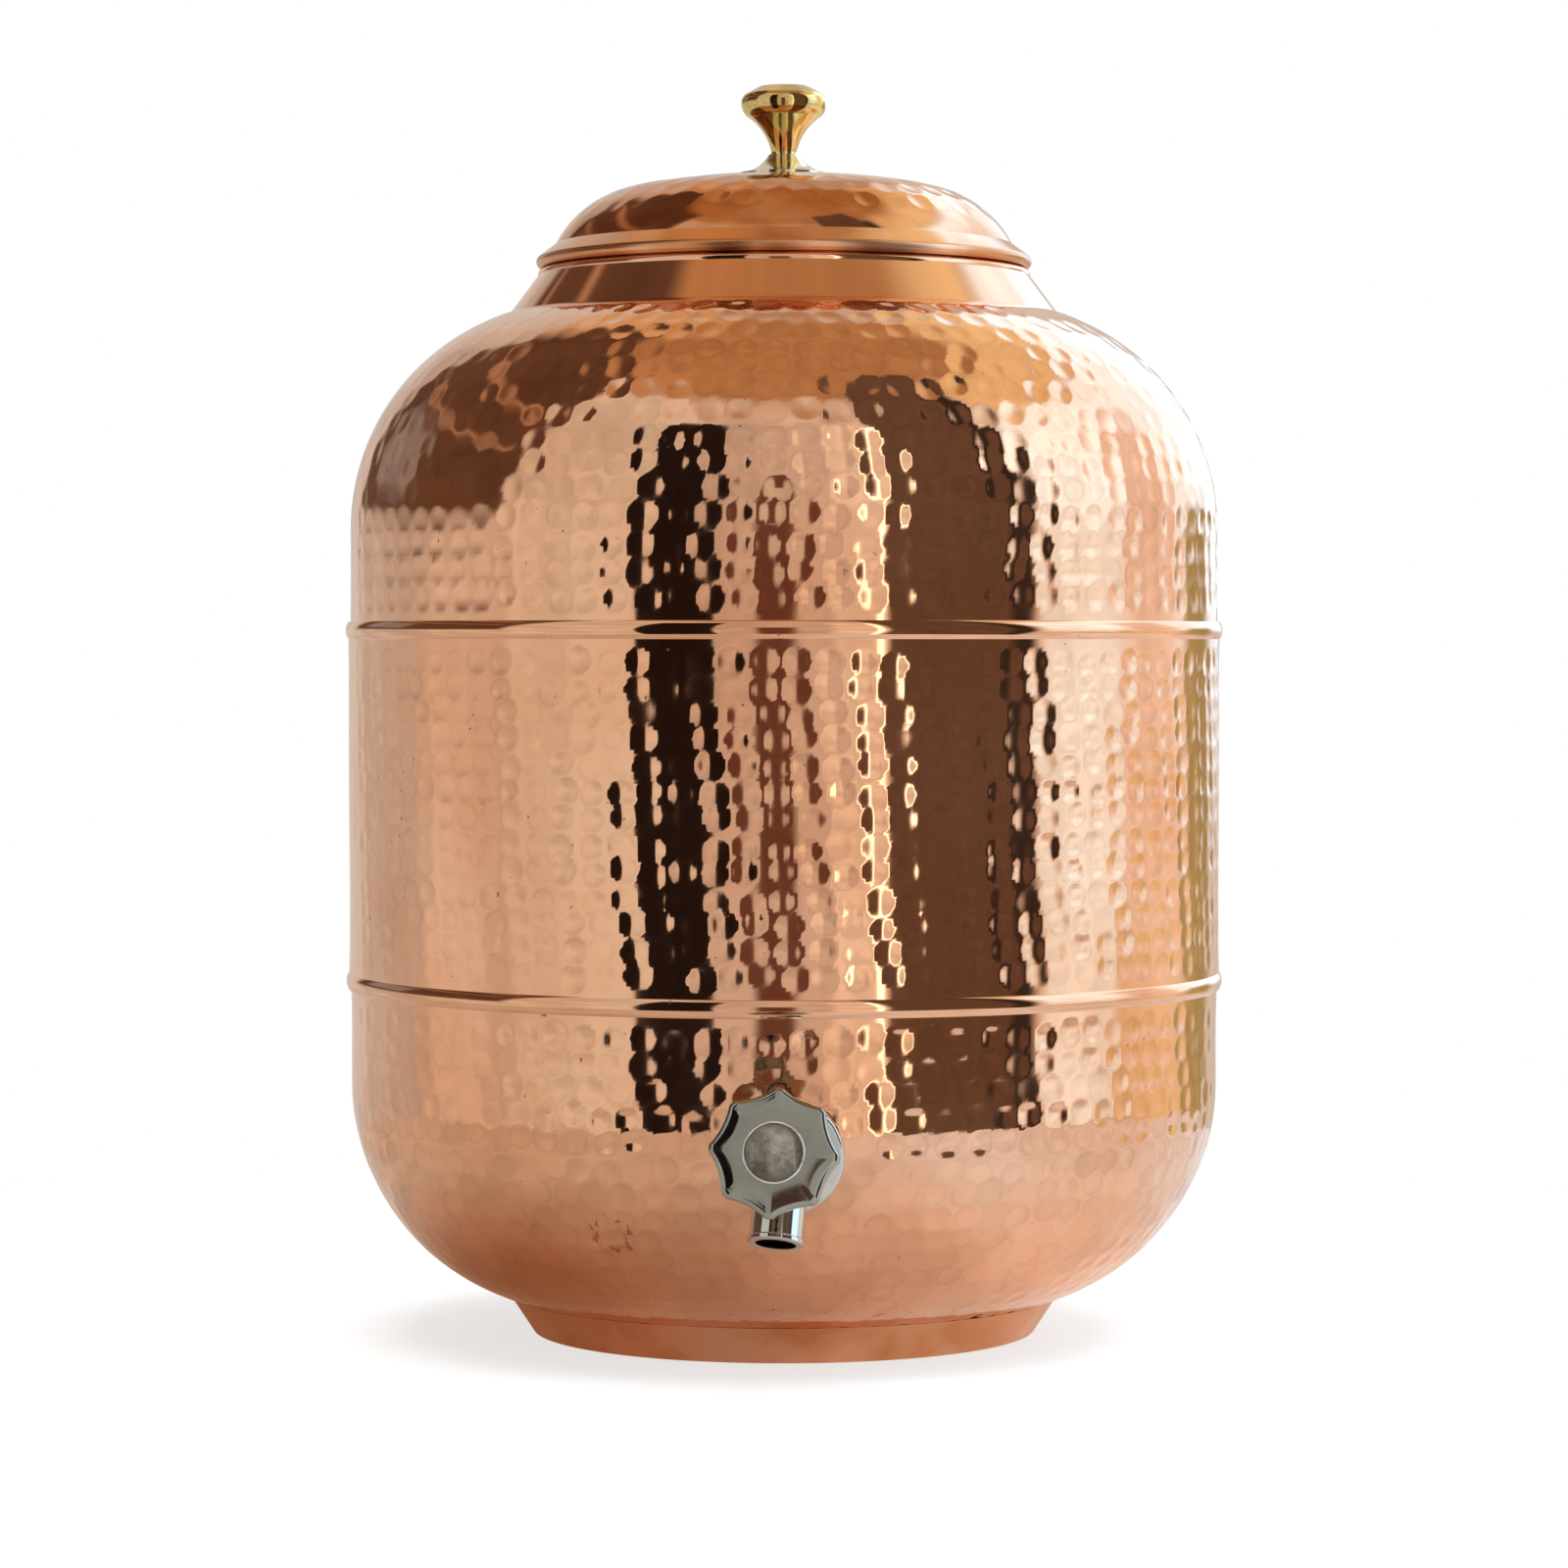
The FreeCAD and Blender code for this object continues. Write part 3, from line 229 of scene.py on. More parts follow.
def copper_finish(name, roughness, grain, aged, lines, struck=0.0, worn_below=None, ring=None, old=None):
    """Copper: two tones clouded together, dark specks, lathe lines and a fine grain in the polish.

    struck darkens the rims of the hammer marks with the tarnish tone, partly as oxide in the rims and partly
    as painted shade of each dimple; worn_below dulls all that lies under a height, ring is the centre of a
    patch of scratches left in the lacquer, and old is the darker of the two tones.
    """
    material, tree, shader = new_finish(name)
    tones = colours()
    place = object_point(tree)
    cloud = between(tree, noise(tree, place, 18.0, 4.0), 0.35, 0.70)
    cloud = maths(tree, "MULTIPLY", cloud, aged, clamp=True)
    metal = blend_colours(tree, cloud, tones.copper, old or tones.old_copper)
    speck = between(tree, noise(tree, place, 420.0, 1.0), 0.76, 0.80)
    gather = between(tree, noise(tree, place, 30.0, 2.0), 0.50, 0.62)
    stain = maths(tree, "MULTIPLY", speck, gather, clamp=True)
    if ring:
        stain = maths(tree, "MAXIMUM", stain, scratch_patch(tree, place, ring))
    metal = blend_colours(tree, maths(tree, "MULTIPLY", stain, 0.8), metal, tones.tarnish)
    haze = between(tree, noise(tree, place, 60.0, 3.0), 0.35, 0.75, roughness, roughness * 1.9)
    haze = maths(tree, "ADD", haze, maths(tree, "MULTIPLY", stain, 0.3), clamp=True)
    if struck:
        # The rims of the hammer marks take the tarnish tone: partly oxide, partly painted shade standing in
        # for the shading of each dimple.
        strike = add_node(tree, "ShaderNodeAttribute", {"attribute_name": "strike"}).outputs["Fac"]
        rising, falling = between(tree, strike, 0.0, 0.12), between(tree, strike, 0.18, 0.60, 1.0, 0.0)
        rim_oxide_and_shade = maths(tree, "MULTIPLY", rising, falling)
        uneven = between(tree, noise(tree, place, 110.0, 3.0), 0.42, 0.66)
        rim_oxide_and_shade = maths(tree, "MULTIPLY", maths(tree, "MULTIPLY", rim_oxide_and_shade, uneven), struck, clamp=True)
        metal = blend_colours(tree, rim_oxide_and_shade, metal, tones.tarnish)
        haze = maths(tree, "ADD", haze, maths(tree, "MULTIPLY", rim_oxide_and_shade, 0.25), clamp=True)
    if worn_below:
        height = add_node(tree, "ShaderNodeSeparateXYZ", Vector=place).outputs["Z"]
        worn = between(tree, height, worn_below - WORN_EDGE, worn_below, 0.20, 0.0)
        haze = maths(tree, "ADD", haze, worn, clamp=True)
    tree.links.new(metal, shader.inputs["Base Color"])
    tree.links.new(haze, shader.inputs["Roughness"])
    shader.inputs["Metallic"].default_value = 1.0
    turned = noise(tree, object_point(tree, (6.0, 6.0, 1400.0)), 1.0, 2.0)
    rough = noise(tree, place, 900.0, 2.0)
    normal = bump(tree, turned, lines)
    normal = bump(tree, rough, grain, normal=normal)
    tree.links.new(normal, shader.inputs["Normal"])
    return material


def scratch_patch(tree, place, centre):
    """A broken ring of fine scratches about a point: 1 in a scratch, 0 elsewhere."""
    away = distance_from(tree, place, centre)
    inner, outer = between(tree, away, 0.0030, 0.0055), between(tree, away, 0.0065, 0.0090, 1.0, 0.0)
    band = maths(tree, "MULTIPLY", inner, outer)
    broken = between(tree, noise(tree, object_point(tree, (1.0, 1.0, 0.45)), 520.0, 3.0), 0.54, 0.60)
    return maths(tree, "MULTIPLY", maths(tree, "MULTIPLY", band, broken), 0.75, clamp=True)


def metal_finish(name, tone, dark, roughness, scratches, grain, scale=700.0):
    """A plain metal: slightly clouded tone, uneven polish, fine scratches and grain."""
    material, tree, shader = new_finish(name)
    place = object_point(tree)
    cloud = between(tree, noise(tree, place, 90.0, 3.0), 0.35, 0.75)
    tree.links.new(blend_colours(tree, cloud, tone, dark), shader.inputs["Base Color"])
    shader.inputs["Metallic"].default_value = 1.0
    haze = between(tree, noise(tree, place, 260.0, 3.0), 0.35, 0.75, roughness, roughness * 2.0)
    tree.links.new(haze, shader.inputs["Roughness"])
    marks = noise(tree, object_point(tree, (900.0, 900.0, 60.0)), 1.0, 2.0)
    normal = bump(tree, marks, scratches)
    normal = bump(tree, noise(tree, place, scale, 2.0), grain, normal=normal)
    tree.links.new(normal, shader.inputs["Normal"])
    return material


def soft_finish(name, tone, dark, roughness, grain, scale=900.0):
    """Rubber, silicone or packing: a matt clouded tone with a moulded grain."""
    material, tree, shader = new_finish(name)
    place = object_point(tree)
    cloud = between(tree, noise(tree, place, 200.0, 4.0), 0.35, 0.70)
    tree.links.new(blend_colours(tree, cloud, tone, dark), shader.inputs["Base Color"])
    haze = between(tree, noise(tree, place, 300.0, 2.0), 0.3, 0.7, roughness, roughness * 1.2)
    tree.links.new(haze, shader.inputs["Roughness"])
    tree.links.new(bump(tree, noise(tree, place, scale, 3.0), grain), shader.inputs["Normal"])
    return material


def clear_finish(name, centre):
    """The clear cap, dulled by use: cloudy grey under a gloss, with painted shade round its edge where it
    sits in the handle's recess, and small specks.
    """
    material, tree, shader = new_finish(name)
    tones = colours()
    place = object_point(tree)
    cloud = between(tree, noise(tree, place, 260.0, 5.0, 0.65), 0.35, 0.68)
    tone = blend_colours(tree, cloud, tones.clear, (0.15, 0.14, 0.115))
    speck = between(tree, noise(tree, place, 620.0, 3.0), 0.66, 0.72)
    tone = blend_colours(tree, speck, tone, (0.10, 0.095, 0.07))
    gold = between(tree, noise(tree, object_point(tree, (1.0, 1.3, 0.8)), 500.0, 3.0), 0.70, 0.74)
    tone = blend_colours(tree, maths(tree, "MULTIPLY", gold, 0.7), tone, (0.45, 0.36, 0.07))
    # Painted shade: darker towards the cap's edge, where it meets the handle's recess.
    away = distance_from(tree, place, centre)
    tone = blend_colours(tree, between(tree, away, 0.0045, 0.0082, 0.0, 0.85), tone, (0.07, 0.063, 0.045))
    tree.links.new(tone, shader.inputs["Base Color"])
    shader.inputs["Metallic"].default_value = 0.35
    haze = between(tree, noise(tree, place, 300.0, 3.0), 0.3, 0.7, 0.12, 0.34)
    tree.links.new(haze, shader.inputs["Roughness"])
    tree.links.new(bump(tree, noise(tree, place, 420.0, 3.0), 0.00012), shader.inputs["Normal"])
    shader.inputs["Coat Weight"].default_value = 1.0
    shader.inputs["Coat Roughness"].default_value = 0.06
    return material


# ---------------------------------------------------------------- surfaces
def arc_run(centre, radius, start, end, count):
    """Outline points centre + radius * (cos a, sin a), a from start to end in degrees, with their normals."""
    angle = np.radians(np.linspace(start, end, count))
    side = 1.0 if end > start else -1.0
    out = np.column_stack((np.cos(angle), np.sin(angle)))
    return np.asarray(centre) + radius * out, side * out


def line_run(start, end, count=2):
    """Outline points evenly spaced on a straight line; the normal lies to the right of the way along it."""
    start, end = np.asarray(start, float), np.asarray(end, float)
    share = np.linspace(0.0, 1.0, count)[:, None]
    way = (end - start) / np.linalg.norm(end - start)
    return start + (end - start) * share, np.tile((way[1], -way[0]), (count, 1))


def arc_between(start, end, radius, count, side=1.0):
    """Outline points on the arc of a given radius from start to end, bulging outwards if side is positive."""
    start, end = np.asarray(start, float), np.asarray(end, float)
    middle, half = (start + end) / 2, (end - start) / 2
    reach = math.sqrt(radius ** 2 - half @ half)
    across = np.array((-half[1], half[0])) / np.linalg.norm(half)
    centre = middle + side * reach * across
    first = math.degrees(math.atan2(*(start - centre)[::-1]))
    last = math.degrees(math.atan2(*(end - centre)[::-1]))
    if side > 0 and last < first:
        last += 360.0
    if side < 0 and last > first:
        last -= 360.0
    return arc_run(centre, radius, first, last, count)


# Low waves: their number, how many times they run round, the steepest climb (radians per metre) and depth.
WAVES, WAVE_TIMES, WAVE_CLIMB, WAVE_DEPTH = 4, (3, 15), 110.0, 0.00004
# How hard the marks are struck, by degrees round from the tap: one side was struck more softly.
STRIKE_TURNS, STRIKE_FORCES = (0, 255, 268, 325, 336, 360), (1.0, 1.0, 0.42, 0.42, 1.0, 1.0)
# Spread of the rows' places, of the marks' places round and along the outline, and of their force and width.
ROW_SPREAD, ROUND_SPREAD, ALONG_SPREAD, FORCE_SPREAD, WIDTH_SPREAD = 0.0004, 0.00065, 0.00055, 0.28, 0.07


def hammer_marks(outline_s, outline_r, first, last, seed, fade=(1.0, 1.0)):
    """Returns a function of phi and s giving the inward depth of the marks and its slopes along x and s.

    Row k lies at s_k and holds n_k = 2 pi r_k / pitch marks. Mark j of depth D and half width a adds
    D * (1 - t^2)^1.5 with t^2 = ((x - x_j)^2 + (s - s_j)^2) / a^2, where x is the length round the row.
    Low waves a few hundredths of a millimetre deep lie under the marks.
    """
    own = sizes()
    draw = np.random.default_rng(seed)
    rows = max(2, int(round((last - first) / own.row_pitch)) + 1)
    row_s = np.linspace(first, last, rows) + draw.normal(0.0, ROW_SPREAD, rows)
    row_r = np.interp(row_s, outline_s, outline_r)
    count = np.maximum(6, np.round(2 * np.pi * row_r / own.mark_pitch).astype(int))
    most = int(count.max())
    start = np.cumsum(draw.normal(0.0, 0.20, rows))
    shift_x = draw.normal(0.0, ROUND_SPREAD, (rows, most))
    shift_s = draw.normal(0.0, ALONG_SPREAD, (rows, most))
    force = np.clip(draw.normal(1.0, FORCE_SPREAD, (rows, most)), 0.30, 1.7)
    force = force * draw.uniform(0.75, 1.15, rows)[:, None]
    force = force * np.linspace(fade[0], fade[1], rows)[:, None]
    turn = np.degrees(2 * np.pi * np.arange(most)[None, :] / count[:, None] + np.zeros((rows, 1)))
    force = force * np.interp(turn, STRIKE_TURNS, STRIKE_FORCES)
    half = 0.5 * own.mark_width * np.clip(draw.normal(1.0, WIDTH_SPREAD, (rows, most)), 0.8, 1.2)
    waves = [(int(draw.integers(*WAVE_TIMES)), draw.uniform(-WAVE_CLIMB, WAVE_CLIMB),
              draw.uniform(0, 2 * np.pi)) for _ in range(WAVES)]

    def field(phi, s, r):
        """Depth, its two slopes and how well each point is struck, on the grid of s by phi."""
        inside = np.interp(s, (first - 0.006, first + 0.004, last - 0.004, last + 0.006), (0, 1, 1, 0))
        depth = np.zeros((len(s), len(phi)))
        slope_x, slope_s = np.zeros_like(depth), np.zeros_like(depth)
        angle, along, radius = phi[None, :], s[:, None], np.maximum(r, 1e-4)[:, None]
        for times, climb, phase in waves:
            turn = times * angle + climb * along + phase
            depth += WAVE_DEPTH * inside[:, None] * (1 + np.sin(turn))
            slope_x += WAVE_DEPTH * inside[:, None] * times / radius * np.cos(turn)
            slope_s += WAVE_DEPTH * inside[:, None] * climb * np.cos(turn)
        nearest = np.abs(s[:, None] - row_s[None, :]).argmin(axis=1)
        strike = np.zeros_like(depth)
        for step in (-1, 0, 1):
            row = nearest + step
            real = (row >= 0) & (row < rows)
            row = np.clip(row, 0, rows - 1)[:, None]
            number = count[row]
            turn = angle * number / (2 * np.pi) - start[row]
            for side in (-1, 0, 1):
                index = np.round(turn).astype(int) + side
                mark = index % number
                x = (turn - index) * 2 * np.pi / number * radius - shift_x[row, mark]
                y = along - row_s[row] - shift_s[row, mark]
                width = half[row, mark]
                room = np.clip(1.0 - (x ** 2 + y ** 2) / width ** 2, 0.0, None) * real[:, None]
                deep = own.mark_depth * force[row, mark]
                depth += deep * room ** 1.5
                slope_x -= 3.0 * deep * np.sqrt(room) * x / width ** 2
                slope_s -= 3.0 * deep * np.sqrt(room) * y / width ** 2
                strike = np.maximum(strike, room ** 1.5)
        return depth, slope_x, slope_s, strike

    return field


def turned_shell(name, runs, columns, marks=None):
    """A turned piece: P(phi, s) = (r sin phi, -r cos phi, z) - depth * N along a closed outline (r, z).

    The outline goes up the outside and down the inside. Where it starts and ends on the axis, its ends
    are single points. Each run of the outline keeps its own normals, so edges between runs stay crisp.
    """
    points = [runs[0][0][0]]
    first_normals, last_normals = [], []
    for line, normals in runs:
        points.extend(line[1:])
        first_normals.extend(normals[:-1])
        last_normals.extend(normals[1:])
    points = np.array(points)
    first_normals, last_normals = np.array(first_normals), np.array(last_normals)
    on_axis = points[0, 0] < 1e-7
    if not on_axis:
        points = points[:-1]
    phi = np.linspace(0.0, 2 * np.pi, columns, endpoint=False)
    r, z = points[:, 0], points[:, 1]
    steps = np.hypot(np.diff(r), np.diff(z))
    s = np.concatenate(((0.0,), np.cumsum(steps)))
    rows = len(points)
    middle = np.array([first_normals[min(k, len(first_normals) - 1)] for k in range(rows)])
    field = marks(s, r) if marks else None
    if field:
        depth, slope_x, slope_s, strike = field(phi, s, r)
    else:
        depth = slope_x = slope_s = strike = np.zeros((rows, columns))
    sine, cosine = np.sin(phi)[None, :], np.cos(phi)[None, :]
    out_r = r[:, None] - depth * middle[:, :1]
    height = z[:, None] - depth * middle[:, 1:]
    grid = np.stack((out_r * sine, -out_r * cosine, np.broadcast_to(height, out_r.shape)), axis=-1)

    def corner_normals(flat, row):
        """World normals at a row from its outline normals and the marks' slopes."""
        across_r, across_z = flat[:, :1], flat[:, 1:]
        along_r, along_z = -across_z, across_r
        radial = across_r + slope_s[row] * along_r
        upward = across_z + slope_s[row] * along_z
        result = np.stack((radial * sine + slope_x[row] * cosine,
                           -radial * cosine + slope_x[row] * sine,
                           np.broadcast_to(upward, slope_x[row].shape)), axis=-1)
        return result / np.linalg.norm(result, axis=-1, keepdims=True)

    lower = np.arange(len(first_normals))
    upper = (lower + 1) % rows
    normal_low, normal_high = corner_normals(first_normals, lower), corner_normals(last_normals, upper)
    column = np.arange(columns)
    following = (column + 1) % columns
    index = lambda row, at: row[:, None] * columns + at[None, :]
    quads = np.stack((index(lower, column), index(lower, following),
                      index(upper, following), index(upper, column)), axis=-1)
    shades = np.stack((normal_low, normal_low[:, following], normal_high[:, following], normal_high), axis=-2)
    vertices = grid.reshape(-1, 3)
    strikes = strike.reshape(-1)
    if on_axis:
        inner = slice(1, len(lower) - 1)
        body, body_shades = quads[inner].reshape(-1, 4), shades[inner].reshape(-1, 4, 3)
        low_pole, high_pole = 0, rows - 1
        keep = np.arange(columns, columns * (rows - 1))
        vertices = np.concatenate((vertices[:1], vertices[keep], vertices[columns * high_pole][None]))
        strikes = np.concatenate((strikes[:1], strikes[keep], strikes[-1:]))
        body = body - columns + 1
        last_index = len(vertices) - 1
        low_ring, high_ring = quads[0] - columns + 1, quads[-1] - columns + 1
        low_fan = np.stack((np.zeros(columns, int), low_ring[:, 2], low_ring[:, 3]), -1)
        high_fan = np.stack((high_ring[:, 0], high_ring[:, 1], np.full(columns, last_index)), -1)
        faces = body.tolist() + low_fan.tolist() + high_fan.tolist()
        loops = np.concatenate((body_shades.reshape(-1, 3), shades[0][:, (0, 2, 3)].reshape(-1, 3),
                                shades[-1][:, (0, 1, 2)].reshape(-1, 3)))
    else:
        faces, loops = quads.reshape(-1, 4).tolist(), shades.reshape(-1, 3)
    return finished_mesh(name, vertices, faces, loops, strikes)


def finished_mesh(name, vertices, faces, loops=None, strikes=None):
    """An object at the origin from vertices, faces, a normal for each face corner and a strike value."""
    mesh = bpy.data.meshes.new(name)
    mesh.from_pydata(vertices.tolist(), [], faces)
    mesh.polygons.foreach_set("use_smooth", np.ones(len(faces), bool))
    if strikes is not None:
        layer = mesh.attributes.new("strike", "FLOAT", "POINT")
        layer.data.foreach_set("value", strikes.astype(np.float32))
    mesh.update()
    if loops is not None:
        mesh.normals_split_custom_set(loops.tolist())
    piece = bpy.data.objects.new(name, mesh)
    bpy.context.scene.collection.objects.link(piece)
    return piece


def fit_out(piece, finish, body, slot, *nodes):
    """Gives a piece its finish and the body it rides on, and hides the nodes it stands for. Its slot argument
    is not used.
    """
    piece.data.materials.append(finish)
    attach(piece, body)
    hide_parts(*nodes)
    return piece


def finish_named(name, maker):
    """A finish by name, made the first time it is asked for."""
    return bpy.data.materials.get(name) or maker()


def hammered_copper():
    """The finish of the band and the shoulder."""
    name = "hammered_copper"
    return finish_named(name, lambda: copper_finish(name, 0.045, 0.0000012, 0.55, 0.0000040, struck=0.13))


# ---------------------------------------------------------------- outlines
def bowl_outline():
    """Flat bottom, rounded corner and skirt outside, then the same inside, one sheet further in."""
    own = sizes()
    centre = (own.body_radius - own.bowl_arc, BOWL_LOW[2] + own.bowl_arc)
    inner = own.bowl_arc - own.sheet
    top = BOWL_HIGH[2]
    inside = own.body_radius - own.sheet
    return [line_run((0.0, BOWL_LOW[2]), (centre[0], BOWL_LOW[2]), 4),
            arc_run(centre, own.bowl_arc, -90, 0, 96),
            line_run((own.body_radius, centre[1]), (own.body_radius, top), 34),
            line_run((own.body_radius, top), (inside, top)),
            line_run((inside, top), (inside, centre[1])),
            arc_run(centre, inner, 0, -90, 16),
            line_run((centre[0], BOWL_LOW[2] + own.sheet), (0.0, BOWL_LOW[2] + own.sheet), 3)]


def band_outline():
    """A straight band with a half-round bead near each edge, and a hollow behind each bead."""
    own = sizes()
    crest = BAND_HIGH[0]
    outer, inner = crest - own.bead_rise, own.body_radius
    low, high = BAND_LOW[2], BAND_HIGH[2]
    low_in, high_in = low + 2 * own.bead_half, high - 2 * own.bead_half
    bead = (own.bead_half ** 2 + own.bead_rise ** 2) / (2 * own.bead_rise)
    wall = outer - inner
    hollow = bead - wall
    return [line_run((inner, low), (outer, low)),
            arc_between((outer, low), (outer, low_in), bead, 12),
            line_run((outer, low_in), (outer, high_in), 98),
            arc_between((outer, high_in), (outer, high), bead, 12),
            line_run((outer, high), (inner, high)),
            line_run((inner, high), (inner, high - wall)),
            arc_between((inner, high - wall), (inner, high_in + wall), hollow, 6, -1.0),
            line_run((inner, high_in + wall), (inner, low_in - wall)),
            arc_between((inner, low_in - wall), (inner, low + wall), hollow, 6, -1.0),
            line_run((inner, low + wall), (inner, low))]


def shoulder_outline():
    """Skirt, dome, crease, conical neck and curled edge outside, then back down the inside."""
    own = sizes()
    centre = (own.body_radius - own.shoulder_arc, own.shoulder_start)
    inside = own.body_radius - own.sheet
    low = SHOULDER_LOW[2]
    crease_angle = math.degrees(math.acos((own.neck_radius - centre[0]) / own.shoulder_arc))
    crease = (own.neck_radius, centre[1] + own.shoulder_arc * math.sin(math.radians(crease_angle)))
    curl = (own.mouth_radius + own.curl_radius, SHOULDER_HIGH[2] - own.curl_radius)
    inner_arc = own.shoulder_arc - own.sheet
    inner_crease = own.neck_radius - own.sheet
    inner_angle = math.degrees(math.acos((inner_crease - centre[0]) / inner_arc))
    inner_top = centre[1] + inner_arc * math.sin(math.radians(inner_angle))
    neck_top = (curl[0] + own.curl_radius * 0.95, curl[1] - own.curl_radius * 0.32)
    return [line_run((inside, low), (own.body_radius, low)),
            line_run((own.body_radius, low), (own.body_radius, own.shoulder_start), 24),
            arc_run(centre, own.shoulder_arc, 0, crease_angle, 82),
            line_run(crease, neck_top, 6),
            arc_run(curl, own.curl_radius, -18.7, 270, 18),
            line_run((curl[0], curl[1] - own.curl_radius), (inner_crease, inner_top + own.sheet * 0.5)),
            line_run((inner_crease, inner_top + own.sheet * 0.5), (inner_crease, inner_top)),
            arc_run(centre, inner_arc, inner_angle, 0, 14),
            line_run((inside, own.shoulder_start), (inside, low))]


# How far the lid's flange runs in and rises from its bead, and how far its corner's centre lies below it.
FLANGE_RUN, FLANGE_RISE, CORNER_DROP = 0.0041, 0.0057, 0.0103


def lid_outline():
    """The rolled edge, flange, rounded corner and crown outside, then the crown and corner inside."""
    own = sizes()
    top = LID_HIGH[2]
    bead = (LID_HIGH[0] - own.lid_bead, LID_LOW[2] + own.lid_bead)
    crown = top - own.crown_arc
    foot = (bead[0] - FLANGE_RUN, bead[1] + FLANGE_RISE)
    corner_z = bead[1] - CORNER_DROP
    corner_r = foot[0] - math.sqrt(own.lid_corner ** 2 - (foot[1] - corner_z) ** 2)
    join = math.degrees(math.atan2(corner_z - crown, corner_r))
    rise = math.degrees(math.asin((foot[1] - corner_z) / own.lid_corner))
    inner_corner = own.lid_corner - own.sheet
    inner_rise = math.degrees(math.asin((foot[1] - corner_z) / inner_corner))
    inner_foot = (corner_r + inner_corner * math.cos(math.radians(inner_rise)), foot[1])
    bead_top = (bead[0] + own.lid_bead * 0.6, bead[1] + own.lid_bead * 0.8)
    inner_end = (bead[0] - own.lid_bead, bead[1])
    crown_centre, inner_crown = (0.0, crown), own.crown_arc - own.sheet
    return [arc_run(crown_centre, inner_crown, 90, join, 16),
            arc_run((corner_r, corner_z), inner_corner, join, inner_rise, 12),
            line_run(inner_foot, inner_end, 4),
            arc_run(bead, own.lid_bead, 180, 360 + math.degrees(math.atan2(0.8, 0.6)), 22),
            line_run(bead_top, foot, 6),
            arc_run((corner_r, corner_z), own.lid_corner, rise, join, 34),
            arc_run(crown_centre, own.crown_arc, join, 90, 56)]


# The foot ring: how far its base and its flange lie in from its top, its wall and rounded edge, and its hem.
FOOT_TAPER, FOOT_FLANGE, FOOT_WALL, FOOT_EDGE = 0.0074, 0.0064, 0.001, 0.0007
HEM_WIDTH, HEM_HEIGHT = 0.0032, 0.0024


def foot_outline():
    """A flared ring with a folded hem at the bottom and a narrow flange under the bowl."""
    own = sizes()
    centre = (own.body_radius - own.bowl_arc, BOWL_LOW[2] + own.bowl_arc)
    bowl = lambda r: centre[1] - math.sqrt(own.bowl_arc ** 2 - (r - centre[0]) ** 2)
    top = FOOT_HIGH[0]
    base, wall, round_edge = top - FOOT_TAPER, FOOT_WALL, FOOT_EDGE
    flange, inner_top = top - FOOT_FLANGE, top - wall * 1.5
    slope = math.degrees(math.atan2(bowl(top), top - base))
    return [line_run((base - HEM_WIDTH, 0.0), (base - round_edge * 1.2, 0.0)),
            arc_run((base - round_edge * 1.2, round_edge), round_edge, -90, slope - 90, 6),
            line_run((base - round_edge * 1.2 + round_edge * math.sin(math.radians(slope)),
                      round_edge - round_edge * math.cos(math.radians(slope))), (top, bowl(top)), 14),
            arc_between((top, bowl(top)), (flange, bowl(flange)), own.bowl_arc, 5, -1.0),
            line_run((flange, bowl(flange)), (flange, bowl(flange) - wall)),
            line_run((flange, bowl(flange) - wall), (inner_top, bowl(inner_top) - wall)),
            line_run((inner_top, bowl(inner_top) - wall), (base - wall, HEM_HEIGHT)),
            line_run((base - wall, HEM_HEIGHT), (base - HEM_WIDTH, HEM_HEIGHT)),
            line_run((base - HEM_WIDTH, HEM_HEIGHT), (base - HEM_WIDTH, 0.0))]


# ---------------------------------------------------------------- tap handle
SEAT = (0.0, -0.156960, 0.068343)
VALVE_TILT, TAP_YAW, TAP_ROLL = 12.0, 4.6, 4.0
HUB_BACK, DISC_BACK, DISC_FRONT = 0.0365, 0.0400, 0.0460
HUB_BORE, HUB_RADIUS, HUB_BEVEL, DISC_HOLLOW = 0.0031, 0.0062, 0.0004, 0.0115
BACK_ROUND, TIP_WIDTH = 0.0006, 0.0008
RING_MIDDLE, RING_HALF, RING_RISE, RING_ROWS = 0.00865, 0.00045, 0.0006, 12
RECESS_RADIUS, RECESS_DEPTH, HOLE_RADIUS, HOLE_DEPTH, BORE_DEPTH = 0.0082, 0.0030, 0.0021, 0.0042, 0.0046
SCRATCH_PLACE = (-0.0518, -0.1190, 0.0441)


def turn_about(axis, degrees):
    """Rotation matrix about X (0), Y (1) or Z (2)."""
    angle = math.radians(degrees)
    first, second = (axis + 1) % 3, (axis + 2) % 3
    matrix = np.eye(3)
    matrix[first, first] = matrix[second, second] = math.cos(angle)
    matrix[first, second], matrix[second, first] = -math.sin(angle), math.sin(angle)
    return matrix


def from_valve(points):
    """Points given with Z along the valve's axis, and the seat at the origin, put where the tap stands."""
    turn = turn_about(2, -TAP_YAW) @ turn_about(1, TAP_ROLL) @ turn_about(0, 90.0 - VALVE_TILT)
    return points @ turn.T + np.asarray(SEAT)


def star_outline(theta):
    """Radius of the star at theta: a point every step, and the far side of a round scallop between two.

    Scallop k is a circle about (c cos a_k, c sin a_k) with radius c - valley, so the star's radius is
    c cos b - sqrt((c - valley)^2 - (c sin b)^2), b being the angle from the scallop's middle.
    """
    own = sizes()
    half_step = math.pi / own.star_points
    tip = half_step - TIP_WIDTH / own.star_radius
    squares = own.star_radius ** 2 - own.star_valley ** 2
    centre = squares / (2 * (own.star_radius * math.cos(tip) - own.star_valley))
    bend = (theta % (2 * half_step)) - half_step
    inside = (centre - own.star_valley) ** 2 - (centre * np.sin(bend)) ** 2
    scallop = centre * np.cos(bend) - np.sqrt(np.maximum(inside, 0.0))
    radius = np.where(inside > 0, scallop, own.star_radius)
    return np.minimum(radius, own.star_radius - 0.0001)


